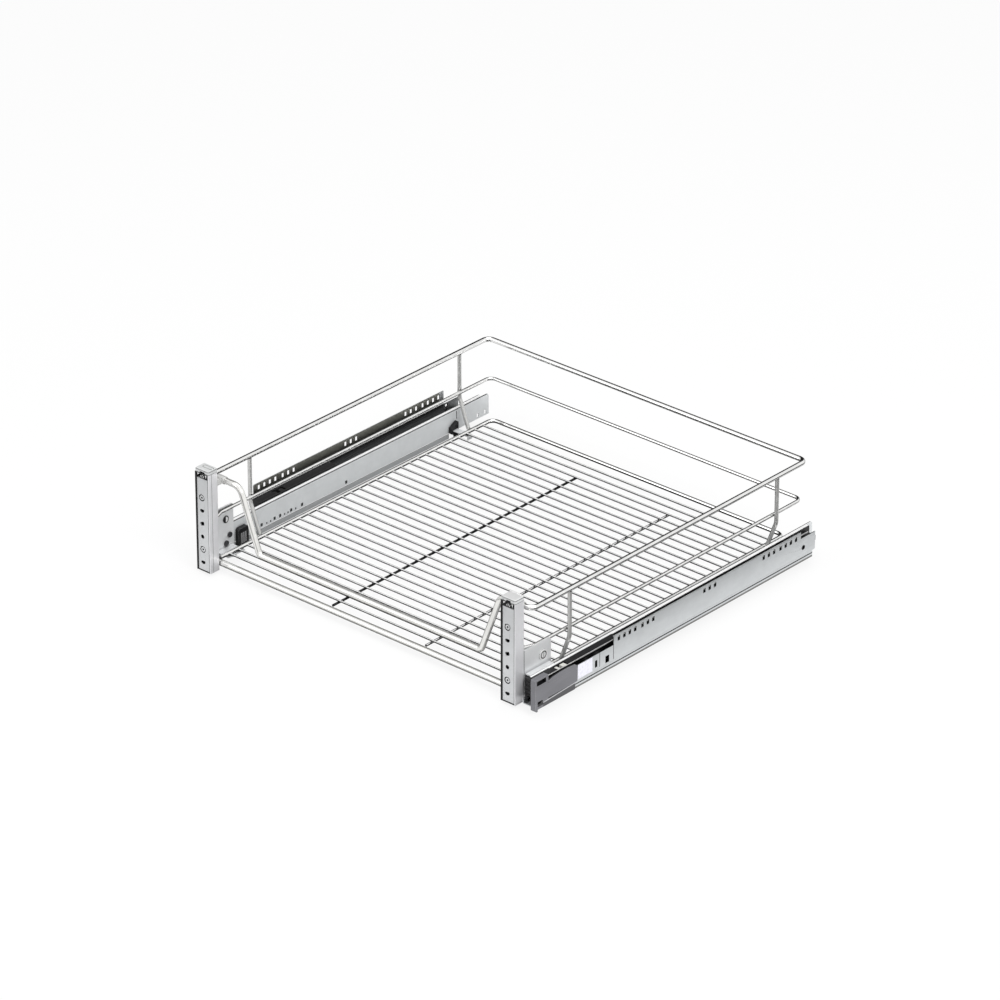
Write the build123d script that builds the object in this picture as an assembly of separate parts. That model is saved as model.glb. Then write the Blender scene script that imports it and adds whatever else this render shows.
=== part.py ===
from build123d import *
from math import radians, sin, tan
import os

os.makedirs("parts", exist_ok=True)

# Pull-out basket drawer: a wire basket on two concealed soft-close runners.
# X runs across the cabinet, Y from the front to the back, Z up. The origin is in the middle
# of the width, in the plane of the post fronts, level with the bottom of the posts.
# Every runner and post is drawn on the right, at positive X, and mirrored to the left.

# Overall sizes: the width between the cabinet sides and the length of the cabinet rail
overall_width = 567.0
runner_length = 501.0
runner_front = -3.0

# Gaps between pieces
weld_gap = 0.03
seat_gap = 0.05
turning_gap = 0.06
sheet_gap = 0.3
rail_gap = 0.5
moving_gap = 0.4
pocket_gap = 0.35
cut_over = 1.0

# Sheet metal of the runner and its widths, measured inwards from the cabinet side
runner_sheet = 1.2
web_inset = 27.5
lower_wall_inset = 3.8
middle_width = 16.3
drawer_rail_cap = 6.5
drawer_shelf_width = 15.0

# Runner heights
cabinet_bottom = 4.8
floor_roller_diameter = 4.7
shelf_roller_diameter = 4.8
cabinet_upstand = 5.6
middle_upstand = 18.5
middle_leg = 26.1
drawer_rail_top = 34.0
web_bottom = 6.0

# Runner lengths
drawer_rail_front = 17.0
drawer_rail_overhang = 27.0
drawer_rail_corner = 4.0
drawer_cap_rear_inset = 12.0
cap_front_cut = 30.0
middle_front = 15.0
middle_rear_inset = 3.0
cabinet_floor_front = 4.0

# The left runner starts further back than the right one and is lower at its two ends
left_setback = 41.0
left_damper_setback = 103.0
left_low_flange_top = 17.0
left_tab_top = 30.0
left_low_leg_top = 23.5
left_leg_rear = 463.0

# Flange of the cabinet rail
flange_front = 69.0
flange_top = 48.5
flange_low_top = 37.0
flange_step_y = 132.0
flange_tab_length = 27.0
flange_tab_top = 40.0
flange_bottom = 17.5
lower_wall_top = 14.0
fold_drop = 0.6
fixing_slot_height = 6.0
fixing_slot_width = 4.2
fixing_slot_drop = 5.9
fixing_pitch = 9.6
front_group_places = [155.6, 192.4, 303.2]
front_group_counts = [4, 3, 3]
rear_group_insets = [86.5, 50.6]
rear_group_counts = [3, 4]
low_slot_y = 101.5
low_slot_z = 25.0
low_slot_width = 4.0
low_slot_height = 9.0
window_y = 121.0
window_z = 23.5
window_width = 6.5
window_height = 9.0
rear_hole_inset = 22.0
rear_hole_z = 26.7
rear_hole_diameter = 4.0

# Label plate on the flange
label_inset = 0.6
label_length = 25.4
label_bottom = 18.2
label_top = 36.3
label_thickness = 0.25

# Post
post_to_runner = 6.0
post_width = 22.0
post_depth = 16.0
post_height = 130.0
post_sheet = 1.3
post_corner = 2.0
liner_wall = 1.0
liner_recess = 0.4
plate_recess = 0.8
plate_sheet = 1.5
plate_top = 122.5
plate_flange_gap = 5.0
plate_hole_pitch = 17.1
first_plate_hole = 11.5
hole_line_offset = -1.5
ring_hole_diameter = 8.0
stud_gap = 0.9
stud_recess = 0.3
stud_bore_diameter = 2.8
stud_bore_depth = 4.0
dot_hole_diameter = 4.6
slot_hole_length = 7.0
slot_hole_width = 3.0
slot_hole_tilt = -18.0
steep_hole_tilt = -48.0

# Post cap and its clip
cap_height = 5.5
cap_bevel = 1.8
cap_notch_inner = 3.0
cap_notch_outer = 7.0
cap_notch_depth = 4.5
cap_notch_height = 2.4
clip_depth = 6.0
clip_recess = 1.4
clip_foot_width = 12.0
clip_foot_height = 1.6
clip_tooth_width = 2.4
clip_tooth_height = 6.2
clip_valley_height = 2.6

# Basket rails, measured from the outer side of the posts and the rear of the drawer rail
rail_diameter = 6.3
rail_overhang = 0.6
rail_height = 114.0
rail_rear_inset = 7.0
rail_front = 27.6
rail_bend = 9.0
rail_tail_inset = 10.5
drop_diameter = 7.6
drop_top_inset = 46.0
drop_run = 30.0
drop_low_height = 34.0
drop_top_bend = 14.0
drop_low_bend = 6.5
mid_diameter = 4.3
mid_height = 62.0
mid_rear_inset = 1.0
mid_end_inset = 9.0
mid_straight = 8.0
mid_joggle = 14.0
mid_bend = 9.0

# Struts between the top rail and the floor
strut_diameter = 5.0
strut_front = 93.0
strut_rear_inset = 38.5
strut_kink_height = 53.0
strut_bend = 20.0

# Basket floor
frame_diameter = 5.0
frame_inset = 19.0
frame_height = 13.8
frame_rear_inset = 14.5
frame_bend = 9.0
front_tube_diameter = 8.0
front_tube_end_gap = 1.5
floor_wire_diameter = 2.6
floor_wire_pitch = 15.0
first_floor_wire = 34.0
support_diameter = 3.0
support_places = [-54.0, 92.0]
support_rear_inset = 45.5
repeat_sides = 12

# Clamps of the front rail on the posts
clamp_wall = 2.6
clamp_rear_wall = 2.2
clamp_corner = 4.0
clamp_inset = 3.0

# Front bracket
bracket_sheet = 1.5
bracket_top = 65.0
bracket_rear = 61.5
bracket_corner = 4.0
bracket_foot_width = 15.5
bracket_foot_top = 57.0
bracket_foot_bottom = 14.0
bracket_shelf_front = 30.0
bracket_shelf_rear = 58.0
bracket_shelf_reach = 4.0
bracket_lip_front = 6.0
bracket_lip_rear = 16.0
bracket_lip_height = 2.5
bracket_ledge_reach = 1.4

# Adjusting cam
cam_diameter = 13.0
cam_y = 47.5
cam_height = 47.5
cam_hub_diameter = 7.0
cam_flange = 1.2
cam_boss_diameter = 9.4
cam_boss_height = 1.0
cam_throw = 0.8
cam_slot_width = 1.4
cam_slot_depth = 0.8
cam_slot_length = 6.0

# Shouldered rivets between the bracket and the drawer rail
rivet_collar_diameter = 8.0
rivet_neck_diameter = 4.2
rivet_head_diameter = 7.0
rivet_head_height = 1.8
rivet_places_y = [48.0, 54.0]
rivet_places_z = [15.6, 25.0]

# Punched marks in the web of the drawer rail
punch_places = [110.5, 117.0, 139.6, 149.2, 168.4, 187.5, 265.5]
punch_width = 4.0
punch_height = 4.4
punch_z = 10.2
nick_places = [126.0, 132.6, 157.0, 163.0, 176.3]
nick_width = 2.2
nick_height = 2.6
nick_z = 9.3
tail_slot_insets = [6.4, 20.4]
tail_slot_width = 3.2
tail_slot_height = 5.6
tail_slot_z = 10.4
seam_slot_offset = 2.5
seam_slot_width = 1.2
seam_slot_height = 11.0
seam_slot_z = 26.0

# Rollers and their cages
floor_roller_length = 11.0
side_roller_diameter = 6.0
side_roller_length = 8.0
side_roller_z = 27.0
shelf_roller_length = 6.0
outer_cage_front = 192.0
outer_cage_length = 176.0
outer_cage_sheet = 2.0
outer_cage_top = 34.0
outer_cage_edge_gap = 0.8
outer_roller_count = 5
inner_cage_front = 142.0
inner_cage_length = 256.0
inner_cage_sheet = 2.4
inner_cage_edge_gap = 1.2
inner_roller_count = 6

# Front housing of the cabinet rail
housing_inset = 0.3
housing_width = 7.2
housing_wall = 2.4
housing_bottom = 4.6
housing_step_inset = 3.3
housing_step_height = 14.0
housing_face_bottom = 16.0
housing_face_rise = 2.0
housing_top = 34.6
housing_bevel = 1.2
housing_block_depth = 22.0
housing_block_top = 45.5
housing_block_corner = 2.0
housing_block_step = 4.0
housing_corner = 2.5
housing_window_depth = 5.0
upper_window_front = 2.4
upper_window_length = 16.0
upper_window_low_gap = 2.8
upper_window_top_gap = 1.8
lower_window_front = 3.6
lower_window_length = 9.0
lower_window_bottom = 11.2
lower_window_top = 17.0

# Soft-close unit in the trough of the middle rail
damper_front = 18.0
damper_length = 134.0
damper_wall = 1.2
damper_end_wall = 2.0
damper_top = 36.0
damper_window_front = 48.0
damper_window_length = 19.0
cylinder_diameter = 7.0
cylinder_end_gap = 2.0
cylinder_length = 52.0
cylinder_z = 27.5
cylinder_bevel = 0.6
rod_diameter = 2.4
rod_reach = 40.0
rod_end_room = 2.0
catch_front = 49.0
catch_length = 17.0
jaw_front = 5.0
jaw_length = 5.0
jaw_depth = 5.4

# Ribbed plastic caps in the front ends of the drawer rails
end_cap_front = 12.2
end_cap_plug = 8.0
end_cap_side_gap = 0.6
end_cap_overlap = 2.5
end_cap_top_gap = 0.5
end_cap_rib_count = 5
end_cap_rib_depth = 0.8

# Plastic coupling on the inner side of the drawer rail
latch_front = 72.0
latch_length = 17.0
latch_thickness = 5.6
latch_top = 23.5
latch_bottom = 0.5
latch_bevel = 2.0
latch_groove_count = 4
latch_groove_pitch = 3.4
latch_groove_width = 1.8
latch_groove_depth = 1.6
latch_groove_bottom = 3.0
latch_groove_top = 17.5

# Hook, strap and buffer at the rear
hook_rear_inset = 62.0
hook_length = 12.0
hook_bottom = -3.0
hook_top = 20.0
hook_slope = 6.0
hook_heel = 5.0
hook_nose = 9.0
hook_notch_height = 7.0
hook_tip_width = 3.0
hook_tip_length = 5.0
tie_inset = 2.0
tie_reach = 5.0
tie_lip = 4.0
stop_rear_inset = 13.0
stop_length = 15.0
stop_top = 25.5
stop_end_gap = 2.0
stop_corner = 1.2

# Places that follow from the sizes above
flange_outer_x = overall_width / 2
lower_wall_outer_x = flange_outer_x - lower_wall_inset
web_x = flange_outer_x - web_inset
cap_x = web_x + drawer_rail_cap
drawer_shelf_outer_x = web_x + drawer_shelf_width
cabinet_inner_x = web_x + runner_sheet + rail_gap
middle_inner_x = cabinet_inner_x + runner_sheet + sheet_gap
middle_outer_x = middle_inner_x + middle_width
post_outer_x = web_x - post_to_runner
post_inner_x = post_outer_x - post_width
bracket_inner_x = post_outer_x - bracket_sheet
rail_half_width = post_outer_x + rail_overhang
rail_tail_x = post_outer_x - rail_tail_inset
frame_half_width = post_outer_x - frame_inset
cabinet_floor_top = cabinet_bottom + runner_sheet
middle_floor = cabinet_floor_top + floor_roller_diameter + 2 * moving_gap
middle_floor_top = middle_floor + runner_sheet
drawer_shelf_height = middle_floor_top + shelf_roller_diameter + 2 * moving_gap
drawer_shelf_top = drawer_shelf_height + runner_sheet
runner_rear = runner_front + runner_length
drawer_rail_rear = runner_rear + drawer_rail_overhang
rail_rear = drawer_rail_rear - rail_rear_inset
frame_rear = rail_rear - frame_rear_inset
front_tube_y = post_depth + seat_gap + front_tube_diameter / 2
front_tube_z = frame_height - frame_diameter / 2 - weld_gap - front_tube_diameter / 2
frame_seat = frame_height - frame_diameter / 2 - seat_gap
hook_rear = drawer_rail_rear - hook_rear_inset
hook_front = hook_rear - hook_length
damper_rear = damper_front + damper_length
cylinder_rear = damper_rear - damper_end_wall - cylinder_end_gap
cylinder_front = cylinder_rear - cylinder_length
damper_inner_x = cap_x + moving_gap
damper_outer_x = middle_outer_x - runner_sheet
damper_middle_x = (damper_inner_x + damper_outer_x) / 2
damper_bottom = drawer_shelf_top + moving_gap
plate_hole_heights = [first_plate_hole + plate_hole_pitch * row for row in range(6)]
plate_x = post_outer_x - post_width / 2
hole_line_x = plate_x + hole_line_offset


def both_sides(name, shape):
    export_step(shape, f"parts/{name}_right.step")
    export_step(mirror(shape, about=Plane.YZ), f"parts/{name}_left.step")


def block(x_range, y_range, z_range):
    size = [high - low for low, high in (x_range, y_range, z_range)]
    centre = [(high + low) / 2 for low, high in (x_range, y_range, z_range)]
    return Pos(*centre) * Box(*size)


def wire_path(corners, bends):
    # Straight runs joined by arcs, one bend radius for each inner corner
    points = [Vector(*corner) for corner in corners]
    start = points[0]
    edges = []
    for before, corner, after, bend in zip(points, points[1:], points[2:], bends):
        back = (before - corner).normalized()
        ahead = (after - corner).normalized()
        half_angle = radians(back.get_angle(ahead)) / 2
        trim = bend / tan(half_angle)
        centre = corner + (back + ahead).normalized() * (bend / sin(half_angle))
        middle = centre + (corner - centre).normalized() * bend
        edges.append(Line(start, corner + back * trim))
        edges.append(ThreePointArc(corner + back * trim, middle, corner + ahead * trim))
        start = corner + ahead * trim
    edges.append(Line(start, points[-1]))
    return Wire(edges)


def bent_wire(corners, bends, diameter):
    path = wire_path(corners, bends)
    section = Plane(origin=path @ 0, z_dir=path % 0) * Circle(diameter / 2)
    return sweep(section, path=path)


def runner_profile(points, y_range):
    # A cross-section of folded sheet, drawn in X and Z and run along the cabinet
    front, rear = y_range
    plane = Plane(origin=(0, front, 0), x_dir=(1, 0, 0), z_dir=(0, -1, 0))
    face = make_face(Polyline(*points, close=True))
    return extrude(plane * face, amount=front - rear)


def across_plane(x, y, z):
    return Plane(origin=(x, y, z), x_dir=(0, 0, 1), z_dir=(1, 0, 0))


def along_plane(x, y, z):
    return Plane(origin=(x, y, z), x_dir=(1, 0, 0), z_dir=(0, 1, 0))


def round_bar(x_range, y, z, diameter):
    return extrude(across_plane(x_range[0], y, z) * Circle(diameter / 2), amount=x_range[1] - x_range[0])


def long_bar(x, y_range, z, diameter):
    return extrude(along_plane(x, y_range[0], z) * Circle(diameter / 2), amount=y_range[1] - y_range[0])


def repeated_bar(x_range, y, z, diameter):
    # A bar of many flat sides, for pieces that repeat
    section = RegularPolygon(diameter / 2, repeat_sides)
    return extrude(across_plane(x_range[0], y, z) * section, amount=x_range[1] - x_range[0])


def repeated_along(x, y_range, z, diameter):
    section = RegularPolygon(diameter / 2, repeat_sides)
    return extrude(along_plane(x, y_range[0], z) * section, amount=y_range[1] - y_range[0])


def repeated_upright(x, y, z_range, diameter):
    section = RegularPolygon(diameter / 2, repeat_sides)
    return extrude(Pos(x, y, z_range[0]) * section, amount=z_range[1] - z_range[0])


def side_window(x_range, y, z, width, height):
    # A cutter for an upright rectangular hole through a side wall
    return block(x_range, (y - width / 2, y + width / 2), (z - height / 2, z + height / 2))


def face_slot(x, z, y_range, tilt):
    # A cutter for a tilted oblong hole in the face plate
    section = Rot(0, 0, tilt) * SlotOverall(slot_hole_length, slot_hole_width)
    return extrude(along_plane(x, y_range[0], z) * section, amount=y_range[1] - y_range[0])


def make_top_rail():
    # Sides and rear of the upper wire, its front ends turned inwards behind the posts
    corners = [
        (-rail_tail_x, rail_front, rail_height),
        (-rail_half_width, rail_front, rail_height),
        (-rail_half_width, rail_rear, rail_height),
        (rail_half_width, rail_rear, rail_height),
        (rail_half_width, rail_front, rail_height),
        (rail_tail_x, rail_front, rail_height),
    ]
    export_step(bent_wire(corners, [rail_bend] * 4, rail_diameter), "parts/top_rail.step")


def make_front_drop_rail():
    # The thicker front tube dips between the posts so that things lift out over it
    top_x = post_outer_x - drop_top_inset
    low_x = top_x - drop_run
    corners = [
        (-rail_tail_x, rail_front, rail_height),
        (-top_x, rail_front, rail_height),
        (-low_x, rail_front, drop_low_height),
        (low_x, rail_front, drop_low_height),
        (top_x, rail_front, rail_height),
        (rail_tail_x, rail_front, rail_height),
    ]
    bends = [drop_top_bend, drop_low_bend, drop_low_bend, drop_top_bend]
    export_step(bent_wire(corners, bends, drop_diameter), "parts/front_drop_rail.step")


def make_mid_rail():
    # The middle wire lies inside the struts and ends on the backs of the posts
    side_x = rail_half_width - strut_diameter / 2 - mid_diameter / 2 - weld_gap
    end_x = post_outer_x - mid_end_inset
    end_y = post_depth + seat_gap
    joggle_y = end_y + mid_straight
    side_y = joggle_y + mid_joggle
    rear = rail_rear - mid_rear_inset
    corners = [
        (-end_x, end_y, mid_height),
        (-end_x, joggle_y, mid_height),
        (-side_x, side_y, mid_height),
        (-side_x, rear, mid_height),
        (side_x, rear, mid_height),
        (side_x, side_y, mid_height),
        (end_x, joggle_y, mid_height),
        (end_x, end_y, mid_height),
    ]
    export_step(bent_wire(corners, [mid_bend] * 6, mid_diameter), "parts/mid_rail.step")


def make_struts():
    # Four uprights hang from the top rail and turn inwards to the sides of the floor frame
    foot_x = frame_half_width + frame_diameter / 2 + weld_gap + strut_diameter / 2
    top = rail_height - rail_diameter / 2 - weld_gap
    struts = []
    for y in (strut_front, frame_rear - strut_rear_inset):
        corners = [
            (rail_half_width, y, top),
            (rail_half_width, y, strut_kink_height),
            (foot_x, y, frame_height),
        ]
        strut = bent_wire(corners, [strut_bend], strut_diameter)
        struts.append(strut)
        struts.append(mirror(strut, about=Plane.YZ))
    export_step(Compound(children=struts), "parts/struts.step")


def make_floor_frame():
    # A wire along both sides and the rear carries the ends of the floor wires
    corners = [
        (-frame_half_width, front_tube_y, frame_height),
        (-frame_half_width, frame_rear, frame_height),
        (frame_half_width, frame_rear, frame_height),
        (frame_half_width, front_tube_y, frame_height),
    ]
    export_step(bent_wire(corners, [frame_bend] * 2, frame_diameter), "parts/floor_frame.step")


def make_front_floor_tube():
    # The front tube passes under the ends of the frame, from post to post
    reach = bracket_inner_x - front_tube_end_gap
    tube = round_bar((-reach, reach), front_tube_y, front_tube_z, front_tube_diameter)
    export_step(tube, "parts/front_floor_tube.step")


def make_floor_wires():
    # The floor wires butt against the inner sides of the frame
    reach = frame_half_width - frame_diameter / 2 - weld_gap
    last_place = frame_rear - frame_diameter
    count = int((last_place - first_floor_wire) // floor_wire_pitch) + 1
    places = [first_floor_wire + number * floor_wire_pitch for number in range(count)]
    wires = [repeated_bar((-reach, reach), y, frame_height, floor_wire_diameter) for y in places]
    export_step(Compound(children=wires), "parts/floor_wires.step")


def make_support_wires():
    # Two lengthways wires are welded under the floor wires
    z = frame_height - floor_wire_diameter / 2 - support_diameter / 2 - weld_gap
    reach = (front_tube_y + front_tube_diameter / 2 + weld_gap, frame_rear - support_rear_inset)
    wires = [long_bar(x, reach, z, support_diameter) for x in support_places]
    export_step(Compound(children=wires), "parts/support_wires.step")


def make_post():
    # A channel open to the front, with rounded rear corners
    outer = Pos(plate_x, post_depth / 2) * Rectangle(post_width, post_depth)
    outer = fillet(outer.vertices().group_by(Axis.Y)[-1], post_corner)
    hollow = Pos(plate_x, post_depth / 2 - post_sheet) * Rectangle(post_width - 2 * post_sheet, post_depth)
    hollow = fillet(hollow.vertices().group_by(Axis.Y)[-1], post_corner - post_sheet)
    both_sides("post", extrude(outer - hollow, amount=post_height))


def make_post_liner():
    # A black tray fills the channel; its rim shows around the face plate
    half = post_width / 2 - post_sheet - seat_gap
    rear = post_depth - post_sheet - seat_gap
    tray = block((plate_x - half, plate_x + half), (liner_recess, rear), (0, post_height))
    tray = fillet(tray.edges().filter_by(Axis.Z).group_by(Axis.Y)[-1], post_corner - post_sheet)
    half_inside = half - liner_wall
    hollow = block(
        (plate_x - half_inside, plate_x + half_inside),
        (liner_recess - cut_over, rear - liner_wall),
        (liner_wall, post_height - liner_wall),
    )
    both_sides("post_liner", tray - hollow)


def make_face_plate():
    # The drawer front is screwed on here; both posts have the same plate, not a mirrored one
    half = post_width / 2 - post_sheet - liner_wall - 2 * seat_gap
    sides = (plate_x - half, plate_x + half)
    plate_rear = plate_recess + plate_sheet
    plate = block(sides, (plate_recess, plate_rear), (liner_wall + seat_gap, plate_top))
    plate += block(sides, (plate_recess, post_depth - plate_flange_gap), (plate_top - plate_sheet, plate_top))
    through = (plate_recess - cut_over, plate_rear + cut_over)
    lowest, lower_ring, dot, steep, upper, upper_ring = plate_hole_heights
    for z in (lowest, upper):
        plate -= face_slot(hole_line_x, z, through, slot_hole_tilt)
    plate -= face_slot(hole_line_x, steep, through, steep_hole_tilt)
    for z in (lower_ring, upper_ring):
        plate -= long_bar(hole_line_x, through, z, ring_hole_diameter)
    plate -= long_bar(hole_line_x, through, dot, dot_hole_diameter)
    export_step(plate, "parts/face_plate_right.step")
    export_step(Pos(-2 * plate_x, 0, 0) * plate, "parts/face_plate_left.step")


def make_plate_studs():
    # Threaded studs stand in the tray behind the two ring holes
    front = plate_recess + stud_recess
    rear = post_depth - post_sheet - liner_wall - 2 * seat_gap
    studs = []
    for row in (1, 5):
        z = plate_hole_heights[row]
        stud = repeated_along(hole_line_x, (front, rear), z, ring_hole_diameter - 2 * stud_gap)
        bore = long_bar(hole_line_x, (front - cut_over, front + stud_bore_depth), z, stud_bore_diameter)
        studs.append(stud - bore)
    studs = Compound(children=studs)
    export_step(studs, "parts/plate_studs_right.step")
    export_step(Pos(-2 * plate_x, 0, 0) * studs, "parts/plate_studs_left.step")


def make_post_cap():
    # A bevelled cap closes the channel and hoods the clip below it at the front
    cap = block((post_inner_x, post_outer_x), (0, post_depth), (post_height, post_height + cap_height))
    cap = fillet(cap.edges().filter_by(Axis.Z), post_corner)
    cap = chamfer(cap.edges().group_by(Axis.Z)[-1], cap_bevel)
    notch = block(
        (post_inner_x + cap_notch_inner, post_outer_x - cap_notch_outer),
        (-cut_over, cap_notch_depth),
        (post_height - cut_over, post_height + cap_notch_height),
    )
    both_sides("post_cap", cap - notch)


def make_cap_clip():
    # A black zigzag clip springs the cap to the post between the plate and the cap
    inner_x = post_inner_x + post_sheet + liner_wall + 3 * seat_gap
    low = plate_top + 2 * seat_gap
    top = low + clip_tooth_height
    foot_x = inner_x + clip_foot_width
    tooth = clip_tooth_width
    valley = low + clip_valley_height
    points = [
        (inner_x, low),
        (foot_x, low),
        (foot_x, low + clip_foot_height),
        (inner_x + 3 * tooth, valley),
        (inner_x + 4 * tooth, top),
        (inner_x + 2.5 * tooth, top),
        (inner_x + 2 * tooth, valley),
        (inner_x + tooth, top),
        (inner_x, top),
    ]
    both_sides("cap_clip", runner_profile(points, (clip_recess, clip_recess + clip_depth)))


def make_rail_clamp():
    # A block on the back of the post grips the end of the front tube
    half_height = drop_diameter / 2 + clamp_wall
    rear = rail_front + drop_diameter / 2 + clamp_rear_wall
    inner_x = post_inner_x + clamp_inset
    outer_x = rail_tail_x - rail_gap
    heights = (rail_height - half_height, rail_height + half_height)
    body = block((inner_x, outer_x), (post_depth, rear), heights)
    body = fillet(body.edges().filter_by(Axis.X).group_by(Axis.Y)[-1], clamp_corner)
    through = (inner_x - cut_over, outer_x + cut_over)
    bore = round_bar(through, rail_front, rail_height, drop_diameter + 2 * turning_gap)
    both_sides("rail_clamp", body - bore)


def make_front_bracket():
    # A folded sheet: foot on the back of the post, side plate, a shelf under the frame,
    # and a ledge on top of the drawer rail
    inner_x = bracket_inner_x
    side = block((inner_x, post_outer_x), (post_depth, bracket_rear), (0, bracket_top))
    side = fillet(side.edges().filter_by(Axis.X).group_by(Axis.Y)[-1], bracket_corner)
    foot = block(
        (post_outer_x - bracket_foot_width, inner_x),
        (post_depth, post_depth + bracket_sheet),
        (bracket_foot_bottom, bracket_foot_top),
    )
    shelf_x = frame_half_width - bracket_shelf_reach
    shelf_low = frame_seat - bracket_sheet
    shelf = block((shelf_x, inner_x), (bracket_shelf_front, bracket_shelf_rear), (shelf_low, frame_seat))
    lip = block(
        (shelf_x - bracket_sheet, shelf_x),
        (bracket_shelf_front + bracket_lip_front, bracket_shelf_rear - bracket_lip_rear),
        (shelf_low, shelf_low + bracket_lip_height),
    )
    ledge_low = drawer_rail_top + seat_gap
    ledge = block(
        (post_outer_x, web_x + bracket_ledge_reach),
        (drawer_rail_front, bracket_rear - bracket_corner),
        (ledge_low, ledge_low + bracket_sheet),
    )
    bracket = side + foot + shelf + lip + ledge
    wall = (inner_x - cut_over, post_outer_x + cut_over)
    bracket -= round_bar(wall, cam_y, cam_height, cam_hub_diameter)
    for y, z in zip(rivet_places_y, rivet_places_z):
        bracket -= round_bar(wall, y, z, rivet_neck_diameter)
    both_sides("front_bracket", bracket)


def make_adjusting_cam():
    # A slotted disc on the outside turns an eccentric boss on the inside of the bracket
    hub_ends = (bracket_inner_x - seat_gap, post_outer_x + seat_gap)
    disc_outer = hub_ends[1] + cam_flange
    hub = round_bar(hub_ends, cam_y, cam_height, cam_hub_diameter - 2 * turning_gap)
    disc = round_bar((hub_ends[1], disc_outer), cam_y, cam_height, cam_diameter)
    boss_ends = (hub_ends[0] - cam_boss_height, hub_ends[0])
    boss = round_bar(boss_ends, cam_y + cam_throw, cam_height, cam_boss_diameter)
    slot = block(
        (disc_outer - cam_slot_depth, disc_outer + cut_over),
        (cam_y - cam_slot_width / 2, cam_y + cam_slot_width / 2),
        (cam_height - cam_slot_length / 2, cam_height + cam_slot_length / 2),
    )
    both_sides("adjusting_cam", hub + disc + boss - slot)


def make_bracket_studs():
    # Shouldered rivets hold the drawer rail at its distance from the bracket
    rivets = []
    for y, z in zip(rivet_places_y, rivet_places_z):
        head = repeated_bar((bracket_inner_x - rivet_head_height, bracket_inner_x), y, z, rivet_head_diameter)
        neck = repeated_bar((bracket_inner_x, web_x + runner_sheet), y, z, rivet_neck_diameter)
        collar = repeated_bar((post_outer_x, web_x), y, z, rivet_collar_diameter)
        rivets.append(head + neck + collar)
    both_sides("bracket_studs", Compound(children=rivets))


def make_drawer_rail():
    # Web and cap seen beside the basket; the outer lip and shelf are folded down inside
    sheet = runner_sheet
    top = drawer_rail_top
    points = [
        (web_x, web_bottom),
        (web_x, top),
        (cap_x, top),
        (cap_x, drawer_shelf_top),
        (drawer_shelf_outer_x, drawer_shelf_top),
        (drawer_shelf_outer_x, drawer_shelf_height),
        (cap_x - sheet, drawer_shelf_height),
        (cap_x - sheet, top - sheet),
        (web_x + sheet, top - sheet),
        (web_x + sheet, web_bottom),
    ]
    rail = runner_profile(points, (drawer_rail_front, drawer_rail_rear))
    rail -= rear_corner_cutter()
    rail -= block(
        (web_x + sheet, drawer_shelf_outer_x + cut_over),
        (drawer_rail_rear - drawer_cap_rear_inset, drawer_rail_rear + cut_over),
        (0, top + cut_over),
    )
    rail -= block(
        (cap_x - 2 * sheet, drawer_shelf_outer_x + cut_over),
        (drawer_rail_front - cut_over, cap_front_cut),
        (0, top - sheet),
    )
    wall = (web_x - cut_over, web_x + sheet + rail_gap)
    for y, z in zip(rivet_places_y, rivet_places_z):
        rail -= round_bar(wall, y, z, rivet_neck_diameter)
    for y in punch_places:
        rail -= side_window(wall, y, punch_z, punch_width, punch_height)
    for y in nick_places:
        rail -= side_window(wall, y, nick_z, nick_width, nick_height)
    for inset in tail_slot_insets:
        rail -= side_window(wall, drawer_rail_rear - inset, tail_slot_z, tail_slot_width, tail_slot_height)
    rail -= side_window(wall, hook_rear + seam_slot_offset, seam_slot_z, seam_slot_width, seam_slot_height)
    both_sides("drawer_rail", rail)


def rear_corner_cutter():
    # Leaves a quarter round at the top rear corner of the drawer rail
    x_range = (web_x - cut_over, drawer_shelf_outer_x + cut_over)
    y = drawer_rail_rear - drawer_rail_corner
    z = drawer_rail_top - drawer_rail_corner
    square = block(x_range, (y, drawer_rail_rear + cut_over), (z, drawer_rail_top + cut_over))
    return square - round_bar(x_range, y, z, 2 * drawer_rail_corner)


def make_middle_rail():
    # A trough: a low edge inside the drawer rail, a floor for the rollers and a tall leg
    sheet = runner_sheet
    floor = middle_floor
    inner_top = floor + middle_upstand
    outer_top = floor + middle_leg
    points = [
        (middle_inner_x, floor),
        (middle_inner_x, inner_top),
        (middle_inner_x + sheet, inner_top),
        (middle_inner_x + sheet, middle_floor_top),
        (middle_outer_x - sheet, middle_floor_top),
        (middle_outer_x - sheet, outer_top),
        (middle_outer_x, outer_top),
        (middle_outer_x, floor),
    ]
    rail = runner_profile(points, (middle_front, runner_rear - middle_rear_inset))
    export_step(rail, "parts/middle_rail_right.step")
    whole = (0, middle_outer_x + cut_over)
    leg = (middle_inner_x + 2 * sheet, middle_outer_x + cut_over)
    rail -= block(whole, (0, middle_front + left_setback), (0, outer_top + cut_over))
    leg_cut = (left_low_leg_top, outer_top + cut_over)
    rail -= block(leg, (0, damper_front + left_damper_setback), leg_cut)
    rail -= block(leg, (left_leg_rear, runner_rear), leg_cut)
    export_step(mirror(rail, about=Plane.YZ), "parts/middle_rail_left.step")


def fixing_slot_places():
    front_groups = zip(front_group_places, front_group_counts)
    rear_places = [runner_rear - inset for inset in rear_group_insets]
    places = []
    for middle, count in [*front_groups, *zip(rear_places, rear_group_counts)]:
        first = middle - (count - 1) / 2 * fixing_pitch
        places.extend(first + number * fixing_pitch for number in range(count))
    return places


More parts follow.
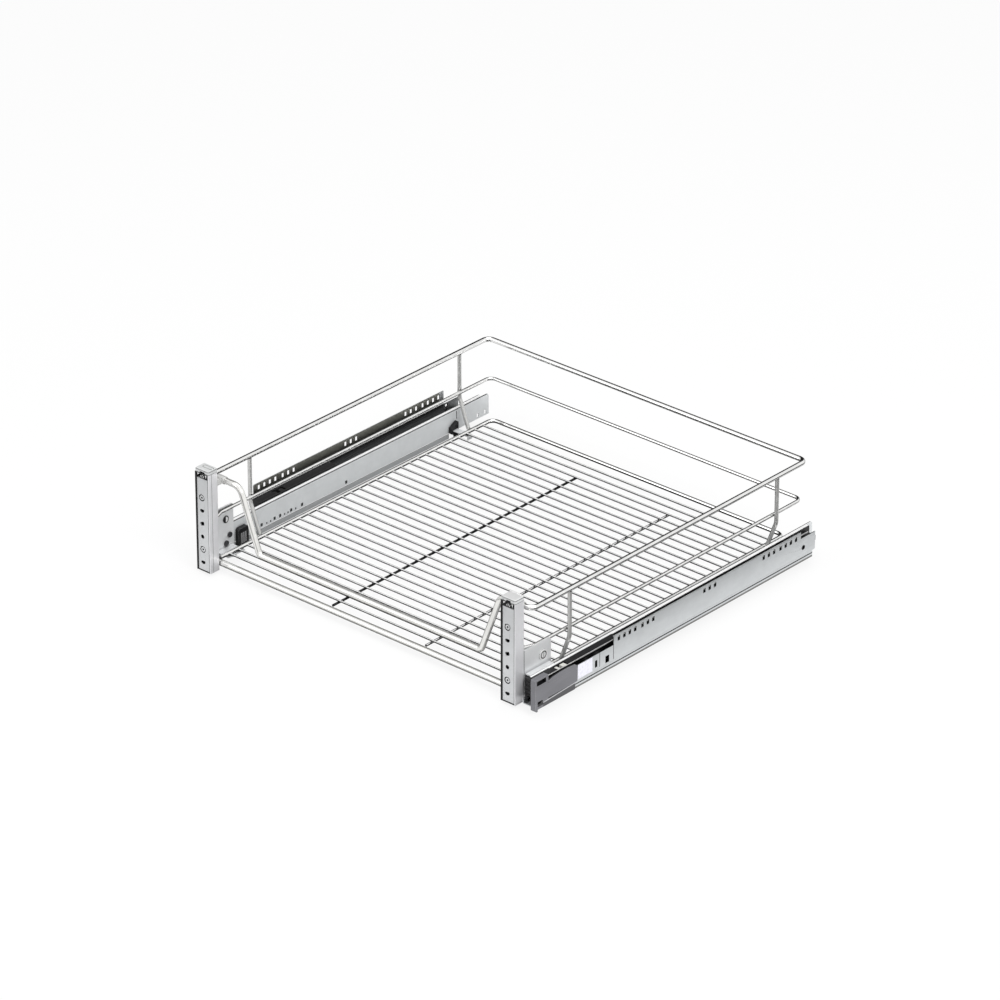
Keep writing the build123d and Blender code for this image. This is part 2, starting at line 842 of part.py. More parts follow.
def make_cabinet_rail():
    # The tall flange screws to the cabinet; below it the rail steps in to a floor
    sheet = runner_sheet
    wall_x = lower_wall_outer_x
    upstand_top = cabinet_bottom + cabinet_upstand
    points = [
        (cabinet_inner_x, cabinet_bottom),
        (cabinet_inner_x, upstand_top),
        (cabinet_inner_x + sheet, upstand_top),
        (cabinet_inner_x + sheet, cabinet_floor_top),
        (wall_x - sheet, cabinet_floor_top),
        (wall_x - sheet, lower_wall_top),
        (flange_outer_x - sheet, flange_bottom),
        (flange_outer_x - sheet, flange_top),
        (flange_outer_x, flange_top),
        (flange_outer_x, flange_bottom - fold_drop),
        (wall_x, lower_wall_top - fold_drop),
        (wall_x, cabinet_bottom),
    ]
    rail = runner_profile(points, (cabinet_floor_front, runner_rear))
    beyond = flange_outer_x + cut_over
    inside = flange_outer_x - sheet - cut_over
    housing_x = flange_outer_x - housing_inset - housing_width - seat_gap
    above = flange_top + cut_over
    tab_front = runner_rear - flange_tab_length
    rail -= block((inside, beyond), (0, flange_step_y), (flange_low_top, above))
    rail -= block((housing_x, beyond), (0, flange_front), (0, above))
    rail -= block((inside, beyond), (tab_front, runner_rear + cut_over), (flange_tab_top, above))
    wall = (inside, beyond)
    slot_z = flange_top - fixing_slot_drop
    for y in fixing_slot_places():
        rail -= side_window(wall, y, slot_z, fixing_slot_width, fixing_slot_height)
    rail -= side_window(wall, low_slot_y, low_slot_z, low_slot_width, low_slot_height)
    rail -= side_window(wall, window_y, window_z, window_width, window_height)
    rail -= round_bar(wall, runner_rear - rear_hole_inset, rear_hole_z, rear_hole_diameter)
    export_step(rail - label_outline(beyond), "parts/cabinet_rail_right.step")
    whole = (0, beyond)
    rail -= block(whole, (0, cabinet_floor_front + left_setback), (0, above))
    rail -= block(whole, (0, flange_step_y), (left_low_flange_top, above))
    rail -= block(whole, (tab_front, runner_rear + cut_over), (left_tab_top, above))
    export_step(mirror(rail, about=Plane.YZ), "parts/cabinet_rail_left.step")


def label_outline(outer_x):
    front = flange_front + label_inset
    inner_x = flange_outer_x - label_thickness
    return block((inner_x, outer_x), (front, front + label_length), (label_bottom, label_top))


def make_label_plate():
    # A plain film lies flush in the outside of the right flange
    export_step(label_outline(flange_outer_x), "parts/label_plate.step")


def make_front_housings():
    # The left one starts further back and is shorter
    right = front_housing(runner_front)
    left = front_housing(runner_front + left_setback)
    export_step(right, "parts/front_housing_right.step")
    export_step(mirror(left, about=Plane.YZ), "parts/front_housing_left.step")


def front_housing(front):
    # A plastic nose closes the front of the cabinet rail: outer wall, step and end block
    outer_x = flange_outer_x - housing_inset
    inner_x = outer_x - housing_width
    step_x = flange_outer_x - housing_step_inset
    wall_x = outer_x - housing_wall
    points = [
        (inner_x, housing_bottom),
        (step_x, housing_bottom),
        (step_x, housing_step_height),
        (outer_x, housing_face_bottom),
        (outer_x, housing_top - housing_bevel),
        (outer_x - housing_bevel, housing_top),
        (wall_x, housing_top),
        (wall_x, housing_face_bottom + housing_face_rise),
        (inner_x, housing_face_bottom),
    ]
    shell = runner_profile(points, (front, flange_front))
    block_rear = front + housing_block_depth
    end = block((inner_x, outer_x), (front, block_rear), (housing_bottom, housing_block_top))
    end = fillet(end.edges().filter_by(Axis.X).group_by(Axis.Y)[0], housing_block_corner)
    end -= block(
        (step_x, outer_x + cut_over),
        (front + housing_block_step, block_rear + cut_over),
        (0, housing_step_height),
    )
    shell = shell + end - front_corner_cutter((inner_x, outer_x), front)
    shell -= housing_window(
        outer_x,
        front + upper_window_front,
        upper_window_length,
        (housing_top + upper_window_low_gap, housing_block_top - upper_window_top_gap),
    )
    shell -= housing_window(
        outer_x,
        front + lower_window_front,
        lower_window_length,
        (lower_window_bottom, lower_window_top),
    )
    return shell


def housing_window(outer_x, front, length, z_range):
    # A cutter for one of the two pockets in the outside of the end block
    return block((outer_x - housing_window_depth, outer_x + cut_over), (front, front + length), z_range)


def front_corner_cutter(sides, front):
    # Leaves a quarter round at the lower front corner of the housing
    x_range = (sides[0] - cut_over, sides[1] + cut_over)
    y = front + housing_corner
    z = housing_bottom + housing_corner
    square = block(x_range, (front - cut_over, y), (housing_bottom - cut_over, z))
    return square - round_bar(x_range, y, z, 2 * housing_corner)


def row_of_places(span, count):
    pitch = (span[1] - span[0]) / count
    return [span[0] + pitch * (number + 0.5) for number in range(count)]


def outer_cage_span():
    return outer_cage_front, outer_cage_front + outer_cage_length


def outer_roller_places():
    # Middle of the floor rollers in X and Z, and middle of the side rollers in X
    floor_x = (middle_inner_x + middle_outer_x) / 2
    floor_z = (cabinet_floor_top + middle_floor) / 2
    side_x = (middle_outer_x + flange_outer_x - runner_sheet) / 2
    return floor_x, floor_z, side_x


def make_outer_cage():
    # An angle strip keeps one row of rollers under the trough and one beside its leg
    sheet = outer_cage_sheet
    floor_x, floor_z, side_x = outer_roller_places()
    span = outer_cage_span()
    low = floor_z - sheet / 2
    upright_x = middle_outer_x + rail_gap
    cage = block((upright_x, upright_x + sheet), span, (low, outer_cage_top))
    cage += block((middle_inner_x + outer_cage_edge_gap, upright_x), span, (low, low + sheet))
    lying = (floor_roller_length, floor_roller_diameter, floor_roller_diameter)
    standing = (side_roller_diameter, side_roller_diameter, side_roller_length)
    for y in row_of_places(span, outer_roller_count):
        cage -= roller_pocket((floor_x, y, floor_z), lying)
        cage -= roller_pocket((side_x, y, side_roller_z), standing)
    both_sides("outer_cage", cage)


def roller_pocket(middle, size):
    # A cutter with the pocket gap all round a lying or standing roller
    return Pos(*middle) * Box(*(length + 2 * pocket_gap for length in size))


def make_outer_rollers():
    floor_x, floor_z, side_x = outer_roller_places()
    across = (floor_x - floor_roller_length / 2, floor_x + floor_roller_length / 2)
    upright = (side_roller_z - side_roller_length / 2, side_roller_z + side_roller_length / 2)
    rollers = []
    for y in row_of_places(outer_cage_span(), outer_roller_count):
        rollers.append(repeated_bar(across, y, floor_z, floor_roller_diameter))
        rollers.append(repeated_upright(side_x, y, upright, side_roller_diameter))
    both_sides("outer_rollers", Compound(children=rollers))


def inner_cage_span():
    return inner_cage_front, inner_cage_front + inner_cage_length


def inner_roller_place():
    return (cap_x + drawer_shelf_outer_x) / 2, (middle_floor_top + drawer_shelf_height) / 2


def make_inner_cage():
    # A flat strip keeps the rollers between the trough and the shelf of the drawer rail
    x, z = inner_roller_place()
    span = inner_cage_span()
    edge_gap = runner_sheet + inner_cage_edge_gap
    half = inner_cage_sheet / 2
    cage = block((middle_inner_x + edge_gap, middle_outer_x - edge_gap), span, (z - half, z + half))
    for y in row_of_places(span, inner_roller_count):
        cage -= roller_pocket((x, y, z), (shelf_roller_length, shelf_roller_diameter, shelf_roller_diameter))
    both_sides("inner_cage", cage)


def make_inner_rollers():
    x, z = inner_roller_place()
    across = (x - shelf_roller_length / 2, x + shelf_roller_length / 2)
    places = row_of_places(inner_cage_span(), inner_roller_count)
    rollers = [repeated_bar(across, y, z, shelf_roller_diameter) for y in places]
    both_sides("inner_rollers", Compound(children=rollers))


def damper_pair(name, shape):
    # The left damper sits further back in its trough than the right one
    export_step(shape, f"parts/{name}_right.step")
    export_step(Pos(0, left_damper_setback, 0) * mirror(shape, about=Plane.YZ), f"parts/{name}_left.step")


def make_damper_housing():
    # A plastic box on the leg of the trough, open on top where the catch shows
    body = block((damper_inner_x, damper_outer_x), (damper_front, damper_rear), (damper_bottom, damper_top))
    inside = (damper_inner_x + damper_wall, damper_outer_x - damper_wall)
    ceiling = damper_top - damper_wall
    body -= block(
        inside,
        (damper_front + damper_end_wall, damper_rear - damper_end_wall),
        (damper_bottom + damper_wall, ceiling),
    )
    window = (damper_window_front, damper_window_front + damper_window_length)
    body -= block(inside, window, (ceiling - cut_over, damper_top + cut_over))
    damper_pair("damper_housing", body)


def make_damper_cylinder():
    cylinder = long_bar(damper_middle_x, (cylinder_front, cylinder_rear), cylinder_z, cylinder_diameter)
    cylinder = chamfer(cylinder.edges().filter_by(GeomType.CIRCLE), cylinder_bevel)
    bore = (cylinder_front - cut_over, cylinder_front + rod_reach + rod_end_room)
    cylinder -= long_bar(damper_middle_x, bore, cylinder_z, rod_diameter + 2 * turning_gap)
    damper_pair("damper_cylinder", cylinder)


def make_closing_catch():
    # A catch with a jaw for the drawer rail; the damper rod is moulded to its rear
    gap = damper_wall + moving_gap
    sides = (damper_inner_x + gap, damper_outer_x - gap)
    top = damper_top - gap
    rear = catch_front + catch_length
    catch = block(sides, (catch_front, rear), (damper_bottom + gap, top))
    front = catch_front + jaw_front
    jaw = (front, front + jaw_length)
    catch -= block((damper_inner_x, damper_outer_x), jaw, (top - jaw_depth, top + cut_over))
    rod = long_bar(damper_middle_x, (rear, cylinder_front + rod_reach), cylinder_z, rod_diameter)
    damper_pair("closing_catch", catch + rod)


def make_rail_end_caps():
    # Each drawer rail ends in a plastic cap whose front face has level grooves
    inner_x = web_x - end_cap_overlap
    outer_x = cap_x - end_cap_side_gap
    top = drawer_rail_top - end_cap_top_gap
    face_rear = middle_front - rail_gap
    rail_seat = drawer_rail_front - seat_gap
    plug_bottom = middle_floor + middle_upstand + rail_gap
    plug_sides = (web_x + runner_sheet + seat_gap, cap_x - runner_sheet - seat_gap)
    plug_top = drawer_rail_top - runner_sheet - seat_gap
    edge_top = cabinet_bottom + cabinet_upstand + rail_gap
    cap = block((inner_x, outer_x), (end_cap_front, face_rear), (edge_top, top))
    cap += block((inner_x, web_x + runner_sheet), (end_cap_front, rail_seat), (web_bottom, top))
    cap += block((inner_x, outer_x), (face_rear, rail_seat), (plug_bottom, top))
    cap += block(plug_sides, (rail_seat, drawer_rail_front + end_cap_plug), (plug_bottom, plug_top))
    pitch = (top - web_bottom) / (2 * end_cap_rib_count + 1)
    for number in range(end_cap_rib_count):
        low = web_bottom + pitch * (2 * number + 1)
        grooved = (end_cap_front - cut_over, end_cap_front + end_cap_rib_depth)
        cap -= block((inner_x - cut_over, outer_x + cut_over), grooved, (low, low + pitch))
    caps = Compound(children=[cap, mirror(cap, about=Plane.YZ)])
    export_step(caps, "parts/rail_end_caps.step")


def make_latch_block():
    # The plastic front coupling on the inner face of the drawer rail, with upright grooves
    inner_x = web_x - latch_thickness
    body = block((inner_x, web_x), (latch_front, latch_front + latch_length), (latch_bottom, latch_top))
    body = chamfer(body.edges().filter_by(Axis.X).group_by(Axis.Z)[-1], latch_bevel)
    grooved = (inner_x - cut_over, inner_x + latch_groove_depth)
    for number in range(latch_groove_count):
        y = latch_front + latch_groove_pitch * (number + 1)
        groove = (y - latch_groove_width / 2, y + latch_groove_width / 2)
        body -= block(grooved, groove, (latch_groove_bottom, latch_groove_top))
    both_sides("latch_block", body)


def make_rear_hook():
    # A plastic hook with a slanting top that catches the rear of the drawer rail
    points = [
        (hook_front, hook_bottom + hook_nose),
        (hook_front, hook_top - hook_slope),
        (hook_rear, hook_top),
        (hook_rear, hook_bottom + hook_heel),
        (hook_rear - hook_tip_width, hook_bottom),
        (hook_rear - hook_tip_length, hook_bottom + hook_notch_height),
    ]
    plane = Plane(origin=(web_x - latch_thickness, 0, 0), x_dir=(0, 1, 0), z_dir=(1, 0, 0))
    body = extrude(plane * make_face(Polyline(*points, close=True)), amount=latch_thickness)
    both_sides("rear_hook", body)


def make_rear_tie():
    # A folded strap runs from the hook under the side of the floor frame
    outer_x = web_x - latch_thickness
    inner_x = frame_half_width - tie_reach
    low = frame_seat - bracket_sheet
    along = (hook_front + tie_inset, hook_rear - tie_inset)
    strap = block((inner_x, outer_x), along, (low, frame_seat))
    lip = block((inner_x, inner_x + bracket_sheet), along, (low - tie_lip, frame_seat))
    both_sides("rear_tie", strap + lip)


def make_rail_stop():
    # A buffer block rides on the shelf of the drawer rail behind the trough
    rear = drawer_rail_rear - stop_rear_inset
    outer_x = middle_outer_x - stop_end_gap
    stop = block((cap_x, outer_x), (rear - stop_length, rear), (drawer_shelf_top, stop_top))
    stop = fillet(stop.edges().filter_by(Axis.Z), stop_corner)
    both_sides("rail_stop", stop)


make_top_rail()
make_front_drop_rail()
make_mid_rail()
make_struts()
make_floor_frame()
make_front_floor_tube()
make_floor_wires()
make_support_wires()
make_post()
make_post_liner()
make_face_plate()
make_plate_studs()
make_post_cap()
make_cap_clip()
make_rail_clamp()
make_front_bracket()
make_adjusting_cam()
make_bracket_studs()
make_drawer_rail()
make_middle_rail()
make_cabinet_rail()
make_label_plate()
make_front_housings()
make_outer_cage()
make_outer_rollers()
make_inner_cage()
make_inner_rollers()
make_damper_housing()
make_damper_cylinder()
make_closing_catch()
make_rail_end_caps()
make_latch_block()
make_rear_hook()
make_rear_tie()
make_rail_stop()
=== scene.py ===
import math
import random

import bmesh
import bpy
from mathutils import Matrix, Vector


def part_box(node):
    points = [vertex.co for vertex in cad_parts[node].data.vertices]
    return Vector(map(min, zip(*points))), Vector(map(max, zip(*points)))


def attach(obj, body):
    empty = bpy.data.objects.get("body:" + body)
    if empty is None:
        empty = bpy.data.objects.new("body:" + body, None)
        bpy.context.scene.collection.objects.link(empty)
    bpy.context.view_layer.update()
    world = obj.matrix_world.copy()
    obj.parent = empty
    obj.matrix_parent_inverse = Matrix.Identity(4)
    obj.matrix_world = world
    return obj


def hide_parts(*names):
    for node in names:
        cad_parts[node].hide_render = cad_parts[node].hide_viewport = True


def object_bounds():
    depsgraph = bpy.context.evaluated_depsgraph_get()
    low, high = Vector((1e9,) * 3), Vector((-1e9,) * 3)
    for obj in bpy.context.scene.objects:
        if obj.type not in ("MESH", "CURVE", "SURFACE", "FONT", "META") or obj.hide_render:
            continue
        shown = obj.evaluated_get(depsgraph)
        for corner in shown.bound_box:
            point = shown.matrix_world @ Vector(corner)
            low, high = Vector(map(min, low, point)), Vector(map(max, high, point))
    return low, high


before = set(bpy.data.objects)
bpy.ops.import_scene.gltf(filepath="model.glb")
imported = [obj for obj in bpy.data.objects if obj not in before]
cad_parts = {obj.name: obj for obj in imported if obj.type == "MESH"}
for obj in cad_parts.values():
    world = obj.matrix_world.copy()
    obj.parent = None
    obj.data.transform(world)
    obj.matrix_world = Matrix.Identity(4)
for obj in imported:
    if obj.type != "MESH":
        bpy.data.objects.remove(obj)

cad_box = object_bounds()
scene = bpy.context.scene

MM = 0.001

# Camera: its place in metres, and the direction from the object to it
CAMERA_PLACE = (4.2816, -4.5833, 3.4315)
CAMERA_BACK = (0.5881, -0.6648, 0.4607)
CAMERA_LENS = 222.4
CAMERA_SENSOR = 36.0
CAMERA_REACH = 100.0


# Node graphs

def start_material(name):
    material = bpy.data.materials.new(name)
    material.use_nodes = True
    tree = material.node_tree
    return material, tree, tree.nodes["Principled BSDF"]


def place_of(tree, stretch=(1, 1, 1)):
    """Coordinates on the piece in metres, squeezed along the axes where the pattern runs long."""
    coords = tree.nodes.new("ShaderNodeTexCoord")
    mapping = tree.nodes.new("ShaderNodeMapping")
    mapping.inputs["Scale"].default_value = stretch
    tree.links.new(coords.outputs["Object"], mapping.inputs["Vector"])
    return mapping.outputs["Vector"]


def noise(tree, vector, scale, detail=3.0, roughness=0.55):
    node = tree.nodes.new("ShaderNodeTexNoise")
    node.inputs["Scale"].default_value = scale
    node.inputs["Detail"].default_value = detail
    node.inputs["Roughness"].default_value = roughness
    tree.links.new(vector, node.inputs["Vector"])
    return node.outputs["Fac"]


def spread(tree, value, low, high, new_low, new_high):
    node = tree.nodes.new("ShaderNodeMapRange")
    node.inputs["From Min"].default_value = low
    node.inputs["From Max"].default_value = high
    node.inputs["To Min"].default_value = new_low
    node.inputs["To Max"].default_value = new_high
    tree.links.new(value, node.inputs["Value"])
    return node.outputs["Result"]


def blend_colours(tree, factor, first, second):
    node = tree.nodes.new("ShaderNodeMix")
    node.data_type = "RGBA"
    for socket, colour in ((node.inputs[6], first), (node.inputs[7], second)):
        if isinstance(colour, tuple):
            socket.default_value = (*colour, 1.0)
        else:
            tree.links.new(colour, socket)
    tree.links.new(factor, node.inputs["Factor"])
    return node.outputs[2]


# How far an edge's normal turns before it counts as an edge, and when it counts fully
EDGE_TURN = (0.02, 0.25)


def edge_mask(tree, radius):
    """Near 1 on sharp edges, 0 on flats: how far the rounded normal turns from the true one."""
    rounded = tree.nodes.new("ShaderNodeBevel")
    rounded.samples = 4
    rounded.inputs["Radius"].default_value = radius
    geometry = tree.nodes.new("ShaderNodeNewGeometry")
    dot = tree.nodes.new("ShaderNodeVectorMath")
    dot.operation = "DOT_PRODUCT"
    tree.links.new(rounded.outputs["Normal"], dot.inputs[0])
    tree.links.new(geometry.outputs["Normal"], dot.inputs[1])
    return spread(tree, dot.outputs["Value"], 1.0 - EDGE_TURN[0], 1.0 - EDGE_TURN[1], 0.0, 1.0)


def recess_mask(tree, distance, open_share, deep_share):
    """Near 1 deep in slots and corners, 0 on open faces."""
    node = tree.nodes.new("ShaderNodeAmbientOcclusion")
    node.samples = 6
    node.inputs["Distance"].default_value = distance
    return spread(tree, node.outputs["AO"], open_share, deep_share, 0.0, 1.0)


def bump(tree, shader, height, strength, distance):
    node = tree.nodes.new("ShaderNodeBump")
    node.inputs["Strength"].default_value = strength
    node.inputs["Distance"].default_value = distance
    tree.links.new(height, node.inputs["Height"])
    tree.links.new(node.outputs["Normal"], shader.inputs["Normal"])


def darker(colour, share):
    return tuple(c * share for c in colour)


# Regions of a piece, in its own coordinates

def maths(tree, operation, *values):
    node = tree.nodes.new("ShaderNodeMath")
    node.operation = operation
    for socket, value in zip(node.inputs, values):
        if isinstance(value, (int, float)):
            socket.default_value = value
        else:
            tree.links.new(value, socket)
    return node.outputs[0]


def own_place(tree):
    coords = tree.nodes.new("ShaderNodeTexCoord")
    split = tree.nodes.new("ShaderNodeSeparateXYZ")
    tree.links.new(coords.outputs["Object"], split.inputs[0])
    return split.outputs


def coordinates(tree):
    """How far a point lies from the middle plane, how far back and how high, in metres."""
    place = own_place(tree)
    return maths(tree, "ABSOLUTE", place["X"]), place["Y"], place["Z"]


def across(tree):
    return own_place(tree)["X"]


def upward(tree):
    """How far the surface faces up, from -1 to 1."""
    geometry = tree.nodes.new("ShaderNodeNewGeometry")
    split = tree.nodes.new("ShaderNodeSeparateXYZ")
    tree.links.new(geometry.outputs["Normal"], split.inputs[0])
    return split.outputs["Z"]


def left_of(tree, x):
    return maths(tree, "LESS_THAN", across(tree), x * MM)


def right_of(tree, x):
    return maths(tree, "GREATER_THAN", across(tree), x * MM)


def between(tree, value, low, high):
    above = maths(tree, "GREATER_THAN", value, low * MM)
    below = maths(tree, "LESS_THAN", value, high * MM)
    return maths(tree, "MULTIPLY", above, below)


def all_of(tree, *masks):
    total = masks[0]
    for mask in masks[1:]:
        total = maths(tree, "MULTIPLY", total, mask)
    return total


def region(tree, side=None, depth=None, height=None):
    """1 between these limits in millimetres, where side is the distance from the middle plane."""
    parts = zip(coordinates(tree), (side, depth, height))
    return all_of(tree, *[between(tree, value, *limits) for value, limits in parts if limits])


def grey(level):
    return (level, level, level)


def paint(material, mask, colour):
    """Puts a colour over what the piece has so far, where the mask is 1."""
    tree = material.node_tree
    socket = tree.nodes["Principled BSDF"].inputs["Base Color"]
    below = socket.links[0].from_socket
    tree.links.new(blend_colours(tree, mask, below, colour), socket)


def spot(tree, width, height, centre, stretch=1.0):
    """Distance from a point of the front, whose centre is in millimetres, flattened by the stretch."""
    side = maths(tree, "MULTIPLY", maths(tree, "SUBTRACT", width, centre[0] * MM), 1.0 / stretch)
    rise = maths(tree, "SUBTRACT", height, centre[1] * MM)
    square = maths(tree, "ADD", maths(tree, "MULTIPLY", side, side), maths(tree, "MULTIPLY", rise, rise))
    return maths(tree, "SQRT", square)


# Parts of a noise's range that are stretched over the whole effect
NARROW_BAND = (0.35, 0.65)
WIDE_BAND = (0.3, 0.7)


def mottled(tree, pattern, band, colour, dark_share):
    """The colour, and in the troughs of the pattern a darker one."""
    shade = spread(tree, pattern, *band, 0.0, 1.0)
    return blend_colours(tree, shade, darker(colour, dark_share), colour)


def vary_roughness(tree, shader, pattern, low, high):
    tree.links.new(spread(tree, pattern, *WIDE_BAND, low, high), shader.inputs["Roughness"])


# Noise scales are cells to the metre, reaches and depths are in metres
WIRE_CLOUDS = 60.0
WIRE_MARKS = 700.0
WIRE_MARK_DEPTH = 0.000005
WIRE_SHADE_REACH = 0.004
WIRE_SHADE_LIMITS = (0.7, 0.25)
WIRE_SHADE_SHARE = 0.12
WIRE_EDGE_TINT = (0.2, 0.2, 0.2, 1.0)


def plated_wire(name, colour, rough, metallic=1.0):
    """Bright plated wire: faint clouding, fine drawing marks, darker rims and painted shade in recesses.
    """
    material, tree, shader = start_material(name)
    clouds = noise(tree, place_of(tree), WIRE_CLOUDS, 2.0)
    marks = noise(tree, place_of(tree), WIRE_MARKS, 2.0)
    base = mottled(tree, clouds, NARROW_BAND, colour, 0.9)
    # Painted shade: the colour is darkened where the recess mask finds corners and crossings.
    shade_mask = recess_mask(tree, WIRE_SHADE_REACH, *WIRE_SHADE_LIMITS)
    base = blend_colours(tree, shade_mask, base, darker(colour, WIRE_SHADE_SHARE))
    tree.links.new(base, shader.inputs["Base Color"])
    vary_roughness(tree, shader, clouds, rough * 0.75, rough * 1.3)
    bump(tree, shader, marks, 0.01, WIRE_MARK_DEPTH)
    shader.inputs["Metallic"].default_value = metallic
    shader.inputs["Specular Tint"].default_value = WIRE_EDGE_TINT
    return material


SHEET_LINES = 900.0
SHEET_LINE_DEPTH = 0.00003
SHEET_SPANGLE = 55.0
SHEET_SHADE_LIMITS = (0.7, 0.35)
SHEET_EDGE = 0.0005
SHEET_EDGE_GAIN = 1.12

# How the rolling lines run: along the depth, up, or nowhere
ALONG = (1, 0.04, 1)
UPRIGHT = (1, 1, 0.04)
EVEN = (1, 1, 1)


def rolled_sheet(name, colour, rough, metallic, run=ALONG, recess_shading=(0.004, 0.35)):
    """Zinc-plated sheet: rolling lines along its length, soft spangle, edges painted brighter as wear and
    painted highlight.

    The recess shading is painted shade: how far it reaches out of the recesses and how much of the colour
    it leaves."""
    material, tree, shader = start_material(name)
    lines = noise(tree, place_of(tree, run), SHEET_LINES, 4.0)
    cells = noise(tree, place_of(tree), SHEET_SPANGLE, 4.0, 0.7)
    base = mottled(tree, cells, NARROW_BAND, colour, 0.94)
    reach, share = recess_shading
    # Painted shade: the colour is darkened deep in slots and corners.
    shade_mask = recess_mask(tree, reach, *SHEET_SHADE_LIMITS)
    base = blend_colours(tree, shade_mask, base, darker(colour, share))
    # Edges painted brighter: partly edge wear, partly painted highlight.
    bright = tuple(min(1.0, c * SHEET_EDGE_GAIN) for c in colour)
    base = blend_colours(tree, edge_mask(tree, SHEET_EDGE), base, bright)
    tree.links.new(base, shader.inputs["Base Color"])
    vary_roughness(tree, shader, lines, rough * 0.8, rough * 1.25)
    bump(tree, shader, lines, 0.15, SHEET_LINE_DEPTH)
    shader.inputs["Metallic"].default_value = metallic
    return material


PLASTIC_GRAIN = 2200.0
PLASTIC_GRAIN_DEPTH = 0.00005
PLASTIC_FLOW = 90.0
PLASTIC_FLOW_RUN = (1, 0.25, 1)
PLASTIC_EDGE = 0.0004


def moulded_plastic(name, colour, rough, edge_colour, gloss=0.5):
    """Injection-moulded plastic: fine grain, slight flow marks, edges painted another colour: lighter on
    most pieces as scuffing and painted highlight, darker on the cap as painted shade.
    """
    material, tree, shader = start_material(name)
    grains = noise(tree, place_of(tree), PLASTIC_GRAIN, 3.0)
    flow = noise(tree, place_of(tree, PLASTIC_FLOW_RUN), PLASTIC_FLOW, 3.0)
    base = mottled(tree, flow, WIDE_BAND, colour, 0.85)
    # Edge colour painted on: a painted highlight where it is lighter than the body, painted shade where it
    # is darker.
    base = blend_colours(tree, edge_mask(tree, PLASTIC_EDGE), base, edge_colour)
    tree.links.new(base, shader.inputs["Base Color"])
    vary_roughness(tree, shader, grains, rough * 0.85, rough * 1.15)
    bump(tree, shader, grains, 0.25, PLASTIC_GRAIN_DEPTH)
    shader.inputs["Specular IOR Level"].default_value = gloss
    return material


FILM_MOTTLE = 260.0
FILM_DEPTH = 0.00003
FILM_ROUGHNESS = (0.22, 0.34)


def printed_film(name, colour):
    """A plain film: one colour with faint mottling under a gloss."""
    material, tree, shader = start_material(name)
    mottle = noise(tree, place_of(tree), FILM_MOTTLE, 4.0)
    tree.links.new(mottled(tree, mottle, NARROW_BAND, colour, 0.94), shader.inputs["Base Color"])
    vary_roughness(tree, shader, mottle, *FILM_ROUGHNESS)
    bump(tree, shader, mottle, 0.1, FILM_DEPTH)
    return material


# Painted shade in recesses: its reach in metres and the share of the colour that it leaves
WIDE_RECESS_SHADE = (0.014, 0.04)
TIGHT_RECESS_SHADE = (0.003, 0.05)

rail_wire = plated_wire("rail_wire", (0.88, 0.88, 0.87), 0.12)
tube_wire = plated_wire("tube_wire", (0.84, 0.835, 0.81), 0.13, 0.72)
floor_wire = plated_wire("floor_wire", grey(0.88), 0.2, 0.5)
support_wire = plated_wire("support_wire", grey(0.06), 0.2)
upright_wire = plated_wire("upright_wire", (0.62, 0.62, 0.61), 0.22, 0.6)

post_steel = rolled_sheet("post_steel", (0.80, 0.80, 0.82), 0.42, 0.45, UPRIGHT)
# The face plates are coloured darker than the post steel: painted shade on the front faces.
plate_steel = rolled_sheet("plate_steel", (0.62, 0.63, 0.64), 0.40, 0.5, UPRIGHT, (0.0025, 0.04))
bracket_steel = rolled_sheet("bracket_steel", (0.80, 0.81, 0.82), 0.40, 0.4)
cabinet_steel = rolled_sheet("cabinet_steel", (0.66, 0.68, 0.69), 0.36, 0.9, ALONG, WIDE_RECESS_SHADE)
drawer_steel = rolled_sheet("drawer_steel", (0.74, 0.76, 0.77), 0.38, 0.25, ALONG, WIDE_RECESS_SHADE)
bright_steel = rolled_sheet("bright_steel", grey(0.84), 0.28, 0.6, ALONG, WIDE_RECESS_SHADE)
lip_steel = rolled_sheet("lip_steel", (0.40, 0.41, 0.42), 0.4, 0.2, ALONG, (0.003, 0.3))
cam_steel = rolled_sheet("cam_steel", grey(0.82), 0.34, 0.2, EVEN, TIGHT_RECESS_SHADE)
turned_steel = rolled_sheet("turned_steel", (0.70, 0.71, 0.72), 0.3, 0.7, EVEN, TIGHT_RECESS_SHADE)
clip_steel = rolled_sheet("clip_steel", grey(0.86), 0.35, 0.2, EVEN, (0.0005, 0.6))
sleeve_steel = rolled_sheet("sleeve_steel", (0.62, 0.62, 0.61), 0.3, 0.3, EVEN, (0.001, 0.5))
dark_steel = rolled_sheet("dark_steel", (0.035, 0.035, 0.038), 0.4, 0.4, EVEN)
weld_steel = rolled_sheet("weld_steel", grey(0.05), 0.5, 0.4, EVEN)

black_plastic = moulded_plastic("black_plastic", (0.014, 0.014, 0.015), 0.45, grey(0.10), 0.25)
coupling_plastic = moulded_plastic("coupling_plastic", (0.012, 0.012, 0.013), 0.4, grey(0.42), 0.3)
grey_plastic = moulded_plastic("grey_plastic", (0.165, 0.165, 0.18), 0.36, (0.42, 0.42, 0.43))
cap_plastic = moulded_plastic("cap_plastic", (0.60, 0.61, 0.61), 0.4, grey(0.22))
catch_plastic = moulded_plastic("catch_plastic", (0.74, 0.74, 0.70), 0.35, (0.8, 0.8, 0.78))
roller_plastic = moulded_plastic("roller_plastic", (0.74, 0.74, 0.70), 0.35, (0.8, 0.8, 0.78))
label_film = printed_film("label_film", (0.80, 0.80, 0.88))


# Marks that are painted over the plain materials. Places and sizes are in millimetres.

BLACK = (0.010, 0.010, 0.011)

